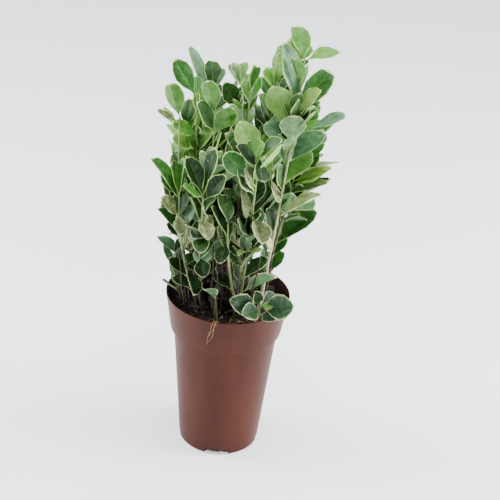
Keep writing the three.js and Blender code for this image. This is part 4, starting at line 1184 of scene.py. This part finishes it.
def leaf_tones(placed, random):
    """The material numbers of a leaf's faces, margin, green and underside, dealt out by its age and its
    height on the plant, or by its tone where it has one. Low leaves get darker greens, dull margins and dark
    undersides, partly as painted shade."""
    number = {name: k for k, name in enumerate(LEAF_SLOTS)}
    count = len(placed["age"])
    age = placed["age"] + random.normal(0, AGE_SPREAD, count)
    low = placed["low"]
    ages = [age < FRESH_AGE, age < BRIGHT_AGE, age < MID_AGE]
    green = np.select(ages, [number["fresh"], number["bright"], number["mid"]], number["dark"])
    # Low leaves turn dark or deep green, partly for their age and partly as painted shade.
    green = np.where(low & (random.random(count) < LOW_DARK), number["dark"], green)
    green = np.where(low & (random.random(count) < LOW_DEEP), number["deep"], green)
    green = np.where(random.random(count) < GREYISH, number["grey"], green)
    green = np.where(placed["sprig"], number["sage"], green)
    green = np.where(low & (random.random(count) < LOW_FADED), number["faded"], green)
    young = (green == number["fresh"]) | (green == number["bright"])
    margin = np.where(young, number["lime margin"], number["cream margin"])
    # The dull margins and dark undersides of the low leaves are partly painted shade.
    margin = np.where(low | (green == number["deep"]), number["dull margin"], margin)
    below = np.where(young | (green == number["mid"]), number["pale underside"], number["grey underside"])
    below = np.where(low | placed["sprig"], number["dark underside"], below)
    for k, tone in enumerate(placed["tone"]):
        if tone:
            green[k], margin[k], below[k] = (number[slot] for slot in SEEN_TONES[tone])
    ring = np.stack([margin, green, green, margin, margin, below, below, margin], -1)
    faces = np.repeat(ring[:, None, :], len(LEAF_ROWS) - 1, axis=1)
    ends = np.stack([np.full(count, number["stalk"]), margin], -1)
    return faces.reshape(-1), np.repeat(ends, len(RING_SIDES), axis=1).reshape(-1)


# Width as a share of length, and the width of a margin in millimetres, which is full on a leaf of
# MARGIN_LENGTH. The rosette at the front of the rim has broader leaves and margins.
SLENDER, ROSETTE_SLENDER, LOW_SLENDER = (0.48, 0.66), (0.64, 0.76), (0.68, 1)
MARGIN_WIDTH, MARGIN_UNEVEN, MARGIN_LENGTH, ROSETTE_MARGIN = (0.4, 0.7), (0.25, 1.6), 34, 2.2
# Young leaves fold more. Seen leaves arch and twist less, and are blunter and a little more folded.
YOUNG_AGE, SEEN_DROOP, SEEN_BLUNT, SEEN_FOLD = 2.5, 0.3, 0.15, 0.08
LEAF_SEED = 900


def leaf_piece(name, grown, stands_for, seed, sprig=False):
    """All the leaves of one shoot as one piece, each with its own seeded width, fold, curl and margin."""
    random = np.random.default_rng(seed)
    count, rows, around = len(grown), len(LEAF_ROWS), len(RING_SIDES)
    placed = {key: np.array([leaf[key] for leaf in grown], float) for key in ("root", "along", "face")}
    placed["length"] = np.array([leaf["length"] for leaf in grown])
    placed["age"] = np.array([leaf["age"] for leaf in grown], float)
    placed["side"] = np.cross(placed["face"], placed["along"])
    rosette = name.startswith("sprig_front_right")
    slender = random.uniform(*(ROSETTE_SLENDER if rosette else SLENDER), count)
    given = np.array([leaf.get("width", 0) for leaf in grown])
    placed["tone"] = [leaf.get("tone") for leaf in grown]
    low = placed["low"] = placed["root"][:, 2] < LOW_HEIGHT - LOW_SLOPE * placed["root"][:, 1]
    slender = slender * np.where(low & (not rosette), random.uniform(*LOW_SLENDER, count), 1)
    placed["width"] = placed["length"] * np.where(given > 0, given, slender)
    placed["form"] = random.uniform(1.1, 1.45, count)
    placed["blunt"] = random.uniform(0.1, 0.55, count) + SEEN_BLUNT * (given > 0)
    placed["sprig"] = np.full(count, sprig) & (random.random(count) < SAGE)
    young = placed["age"] < YOUNG_AGE
    droop = np.where(given > 0, SEEN_DROOP, 1)
    placed["arch"] = droop * (random.uniform(-0.04, 0.09, count) + low * random.uniform(0, 0.22, count))
    fold = np.where(young, random.uniform(0.2, 0.5, count), random.uniform(0.1, 0.4, count))
    placed["fold"] = fold + SEEN_FOLD * (given > 0) + random.uniform(0, 0.25, count) * low
    placed["curl"] = random.uniform(0.0, 0.3, count)
    placed["wave"] = random.uniform(0.004, 0.02, count)
    placed["waves"] = random.uniform(1.0, 2.2, count)
    placed["phase"] = random.uniform(0, 2 * math.pi, count)
    placed["twist"] = droop * random.uniform(-0.4, 0.4, count) * np.where(low, 2, 1)
    base = random.uniform(*MARGIN_WIDTH, (count, 1, 1)) * (ROSETTE_MARGIN if rosette else 1)
    uneven = random.uniform(*MARGIN_UNEVEN, (count, rows, around))
    size = np.clip(placed["length"] / MARGIN_LENGTH, 0.6, 1.15) * np.where(low & (not rosette), 0.8, 1)
    placed["margin"] = base * uneven * size[:, None, None]
    rings, poles, place = leaf_rings(placed)
    quads, fans = leaf_tones(placed, random)
    skin = skins(rings * MM, poles * MM)
    made = piece(name, skin, leaf_materials, stands_for, np.concatenate([quads, fans]))
    place_attribute = made.data.attributes.new("leaf_place", "FLOAT_VECTOR", "POINT")
    place_attribute.data.foreach_set("vector", place.ravel())
    ends = np.empty(len(made.data.edges) * 2, np.int32)
    made.data.edges.foreach_get("vertices", ends)
    local = ends.reshape(-1, 2) % (rows * around + 2)
    column = np.where(local < rows * around, local % around, -1)
    # The two edges of the blade and the midrib, above and below, are sharp.
    sharp = np.isin(column[:, 0], (0, 2, 4, 6)) & (column[:, 0] == column[:, 1])
    made.data.attributes.new("sharp_edge", "BOOLEAN", "EDGE").data.foreach_set("value", sharp)


for own, mass in enumerate(MASSES):
    grown = [leaf for leaf in leaves if leaf["own"] == own]
    leaf_piece(f"{mass}_leaves", grown, [mass], LEAF_SEED + own, own >= len(SHOOTS))


# Dry twigs: thin dead shoots of last year's wood that stand leafless and dark brown among the live ones.
# Each is a tube along its own line, from the peat to a broken tip, that wanders and swells at its nodes.
DRY_RADIUS, DRY_TIP_RADIUS, DRY_STEP = 1.0, 0.4, 3.5
DRY_WANDER, DRY_BOW, DRY_SIDES = 0.9, 1.2, 6
# x and y of the foot, then the tip.
DRY_TWIGS = [
    (-40, -18, (-61, -25, 338)),
    (-36, -23, (-63, -31, 352)),
    (-6, -30, (-8, -40, 322)),
    (-2, -20, (-3, -30, 340)),
    (4, -26, (5, -38, 312)),
    (-14, -40, (-18, -52, 264)),
    (-24, -36, (-35, -50, 268)),
    (-18, -28, (-16, -44, 300)),
    (8, -40, (12, -57, 276)),
    (-30, -6, (-46, -8, 300)),
    (16, -22, (26, -30, 300)),
    (22, -34, (30, -46, 258)),
    (-42, -28, (-53, -40, 252)),
    (-10, -50, (-12, -57, 236)),
    (36, -20, (46, -24, 286)),
    (12, 10, (14, 26, 330)),
    (-20, 20, (-26, 44, 300)),
]
# Dead bark is dark brown and dull, and split along the twig.
dry_bark, tree, shader = finish("dry twig bark", Roughness=0.8)
dry_tones = ("17110d", "2e2319", "4a3b2c")
dress(tree, shader, dry_tones, 0.8 * MM, (1, 1, 6), detail=5.0, bumps=(0.5, 0.2 * MM))

made = []
for k, (x, y, tip) in enumerate(DRY_TWIGS):
    line = Line((x, y, GROUND), tip, DRY_BOW)
    share = np.linspace(-0.02, 1, int((tip[2] - GROUND) / DRY_STEP))
    points = line.at(share)
    height = points[:, 2]
    points[:, 0] += DRY_WANDER * np.sin(height / 11 + k)
    points[:, 1] += DRY_WANDER * np.cos(height / 13 + 2 * k)
    radii = DRY_RADIUS + (DRY_TIP_RADIUS - DRY_RADIUS) * np.clip(share, 0, 1)
    radii = radii * (1 + 0.25 * np.maximum(0, np.cos(height / 2.3 + k)) ** 8)
    rings, poles = tube(points, radii, DRY_SIDES)
    made.append(skins(rings * MM, poles * MM))
piece("dry_twigs", joined(made), [dry_bark], [])


# Dead leaves: dark brown and curled, some fallen on the peat and most caught between the feet of the stems,
# made like the live leaves.
DEAD_COUNT, DEAD_TOP, DEAD_SPREAD, DEAD_AGE = 120, 52, 47, 9
DEAD_SHORTEST, DEAD_LONGEST, DEAD_LIFT = 18, 32, 2.2
# The caught leaves lie lower outwards, and are down on the peat at CAUGHT_SPREAD from the pot's axis.
CAUGHT_SPREAD, PEAT_SPREAD = 50, 56
LEAF_COLOURS["dead"] = ("17110c", "2b2017", "4a3926")
leaf_materials.append(leaf_finish("dead"))
LEAF_SLOTS.append("dead")
SEEN_TONES["dead"] = ("dead", "dead", "dead")
random = np.random.default_rng(31)
dead = []
for k in range(DEAD_COUNT):
    foot = compass(random.uniform(0, 360)) * DEAD_SPREAD * math.sqrt(random.uniform(0.02, 1))
    height = SOIL_TOP + float(soil_height(np.array([foot[0] * MM]), np.array([foot[1] * MM]))[0])
    inward = 1 - (np.hypot(*foot[:2]) / CAUGHT_SPREAD) ** 2
    caught = random.uniform(0, 1) ** 2 * DEAD_TOP * inward * (k % 4 > 0)
    along = compass(random.uniform(0, 360)) + UP * random.uniform(0.02, 0.3 if caught < 3 else 1.2)
    along /= np.linalg.norm(along)
    face = np.cross(along, np.cross(UP, along))
    face = turned_about(face / np.linalg.norm(face), along, random.uniform(-50, 50))
    root = foot + UP * (height / MM + DEAD_LIFT + caught)
    leaf = {"root": root, "along": along, "face": face, "age": DEAD_AGE, "tone": "dead"}
    if np.hypot(*(foot + along * DEAD_LONGEST)[:2]) < PEAT_SPREAD:
        length, width = random.uniform(DEAD_SHORTEST, DEAD_LONGEST), random.uniform(0.35, 0.6)
        dead.append(leaf | {"length": length, "width": width})
leaf_piece("dead_leaves", dead, [], 77)


# Roots: fine tan threads that lie on the peat, a tuft that the water has washed over the rim, and the white
# tips that have grown out through the front drain slot. Each is a thin tube through a few points.
ROOT_SIDES = 5
ROOT_COUNT, ROOT_RADIUS, ROOT_SPREAD, ROOT_STEPS = 34, 0.28, 50, 6
OVER_RIM_ANGLE, OVER_RIM_APART, OVER_RIM_RADIUS, OVER_RIM_DROP = math.radians(-98.5), 0.022, 0.42, 31
OVER_RIM_DROPS, OVER_RIM_WANDER, OVER_RIM_LEAN = (1, 0.62, 0.9, 0.5), 0.012, 0.016
SLOT_ROOT_COUNT, SLOT_ROOT_RADIUS = 18, 0.5
# A dried root is tan and dull, and a fresh root tip is white and a little moist.
root_tan, tree, shader = finish("dry root skin", Roughness=0.8)
dress(tree, shader, ("6e4c2c", "9c7448", "bd9566"), 2.5 * MM)
root_white, tree, shader = finish("fresh root skin", Roughness=0.6)
dress(tree, shader, ("b9ac94", "d8cfbc", "ece7dc"), 2 * MM)


def thread(points, radius, steps=12):
    """A thin tube through points: each coordinate runs on a smooth curve, a Catmull-Rom spline, and the
    radius tapers to half at the end."""
    points = np.array(points, float)
    ends = np.vstack([2 * points[0] - points[1], points, 2 * points[-1] - points[-2]])
    p0, p1, p2, p3 = ends[:-3], ends[1:-2], ends[2:-1], ends[3:]
    u = np.linspace(0, 1, steps, endpoint=False)[None, :, None]
    p0, p1, p2, p3 = (p[:, None] for p in (p0, p1, p2, p3))
    bend = (2 * p0 - 5 * p1 + 4 * p2 - p3) * u**2 + (3 * p1 - p0 - 3 * p2 + p3) * u**3
    curve = 0.5 * (2 * p1 + (p2 - p0) * u + bend)
    middles = np.vstack([curve.reshape(-1, 3), points[-1:]])
    rings, poles = tube(middles, np.linspace(radius, radius / 2, len(middles)), ROOT_SIDES)
    return skins(rings * MM, poles * MM)


made = []
for k in range(ROOT_COUNT):
    start = compass(random.uniform(0, 360)) * ROOT_SPREAD * math.sqrt(random.uniform(0.02, 1))
    heading = random.uniform(0, 2 * math.pi) + np.cumsum(random.normal(0, 0.7, 5))
    steps = np.stack([np.cos(heading), np.sin(heading), 0 * heading], -1) * random.uniform(2.5, 5)
    points = np.vstack([start, start + np.cumsum(steps, axis=0)])
    points[:, :2] *= np.minimum(1, PEAT_SPREAD / np.hypot(points[:, 0], points[:, 1]))[:, None]
    points[:, 2] = (SOIL_TOP + soil_height(points[:, 0] * MM, points[:, 1] * MM)) / MM + 0.5
    points[1:-1, 2] += random.uniform(0, 1.6, 4)
    made.append(thread(points, ROOT_RADIUS * random.uniform(0.8, 1.4), ROOT_STEPS))
rim_z, rim_r = POT_HEIGHT / MM, RIM_RADIUS / MM
for k, drop_share in enumerate(OVER_RIM_DROPS):
    angle = OVER_RIM_ANGLE + (k - (len(OVER_RIM_DROPS) - 1) / 2) * OVER_RIM_APART
    drop = OVER_RIM_DROP * drop_share
    rise = np.array([-6.5, -1.5, 0.6, -0.15 * drop, -0.4 * drop, -0.7 * drop, -drop])
    # How far outside the rim each point is. Those past the rim follow the collar inwards as they drop.
    reach = np.array([-13, -5, -0.6, 0.6, 0.4, 0.6, 0.4])
    reach = reach + np.minimum(0, rise) * COLLAR_IN / COLLAR_DROP * (np.arange(7) > 2)
    wander = np.cumsum(random.normal(0, OVER_RIM_WANDER, 7))
    angles = angle + wander - np.array([0, 0, 0, 1, 3, 5, 7 + k]) * OVER_RIM_LEAN
    radius = rim_r + reach
    points = np.stack([radius * np.cos(angles), radius * np.sin(angles), rim_z + rise], -1)
    made.append(thread(points, OVER_RIM_RADIUS - 0.04 * k))
piece("tan_roots", joined(made), [root_tan], [])

made = []
foot_r = FOOT_RADIUS / MM
for k in range(SLOT_ROOT_COUNT):
    x, top = random.uniform(-10, 10), random.uniform(2.5, 6)
    depth = foot_r - x * x / (2 * foot_r)
    out = random.uniform(-1.5, 2.2)
    start, middle = (x, 5 - depth, top), (x + random.uniform(-2, 2), 1 - depth - out / 2, top * 0.7)
    end = (x + random.uniform(-4, 4), -depth - out, random.uniform(0.6, 2.5))
    made.append(thread([start, middle, end], SLOT_ROOT_RADIUS, ROOT_STEPS))
piece("white_roots", joined(made), [root_white], [])


# The studio: a plain white floor under a soft pale surround that is bright behind the plant and dim in front
# of it, with a softbox on each side and one above, and a camera that looks down on it from its front.
CAMERA_TARGET = (0.0194, 0.0, 0.2314)
CAMERA_LENS = 108.4
CAMERA_ROLL = math.radians(4.5)
CAMERA_SENSOR = 36
FLOOR_HALF, FLOOR_GLOW = 6, 1.1
SURROUND_FRONT, SURROUND_BACK = 0.24, 0.9
PLANT_MIDDLE = (0, 0, 0.25)

# Matt white board that glows a little, so that the floor stays as pale as what is behind it.
floor_mesh = bpy.data.meshes.new("floor")
corners = [(x * FLOOR_HALF, y * FLOOR_HALF, 0) for x, y in ((-1, -1), (1, -1), (1, 1), (-1, 1))]
floor_mesh.from_pydata(corners, [], [(0, 1, 2, 3)])
floor = bpy.data.objects.new("floor", floor_mesh)
bpy.context.scene.collection.objects.link(floor)
matt, tree, shader = finish("matt white floor", Base_Color=linear("f4f5f7"), Roughness=0.8)
shader.inputs["Emission Color"].default_value = linear("f4f7ff")
shader.inputs["Emission Strength"].default_value = FLOOR_GLOW
floor_mesh.materials.append(matt)

world = bpy.data.worlds.new("studio")
bpy.context.scene.world = world
world.use_nodes = True
tree = world.node_tree
direction = add(tree, "ShaderNodeTexCoord").outputs["Generated"]
depth = add(tree, "ShaderNodeSeparateXYZ", {"Vector": direction}).outputs["Y"]
# The surround grows brighter with the y of the direction in which it lies.
surround = {"From Min": -0.6, "From Max": 0.4, "To Min": SURROUND_FRONT, "To Max": SURROUND_BACK}
strength = add(tree, "ShaderNodeMapRange", {"Value": depth} | surround).outputs[0]
tree.nodes["Background"].inputs["Color"].default_value = linear("f6f8fb")
tree.links.new(strength, tree.nodes["Background"].inputs["Strength"])


def softbox(name, place, size, power):
    """A square area light, size metres wide and of a power in watts, that looks at the plant's middle."""
    light = bpy.data.lights.new(name, "AREA")
    light.size = size
    light.energy = power
    lamp = bpy.data.objects.new(name, light)
    bpy.context.scene.collection.objects.link(lamp)
    lamp.location = place
    lamp.rotation_euler = (Vector(PLANT_MIDDLE) - Vector(place)).to_track_quat("-Z", "Y").to_euler()


softbox("left softbox", (-1.35, 0.1, 0.65), 0.8, 32)
softbox("right softbox", (1.38, 0.0, 0.6), 0.9, 48)
softbox("top softbox", (0.1, -0.1, 1.9), 1.0, 30)

# A long lens 1.55 m from its target, which looks down on it and is rolled by a few degrees.
camera = bpy.data.objects.new("camera", bpy.data.cameras.new("camera"))
bpy.context.scene.collection.objects.link(camera)
bpy.context.scene.camera = camera
camera.data.lens = CAMERA_LENS
camera.data.sensor_width = CAMERA_SENSOR
camera.location = CAMERA_PLACE
look = (Vector(CAMERA_TARGET) - Vector(CAMERA_PLACE)).to_track_quat("-Z", "Y").to_matrix()
camera.rotation_euler = (look @ Matrix.Rotation(CAMERA_ROLL, 3, "Z")).to_euler()
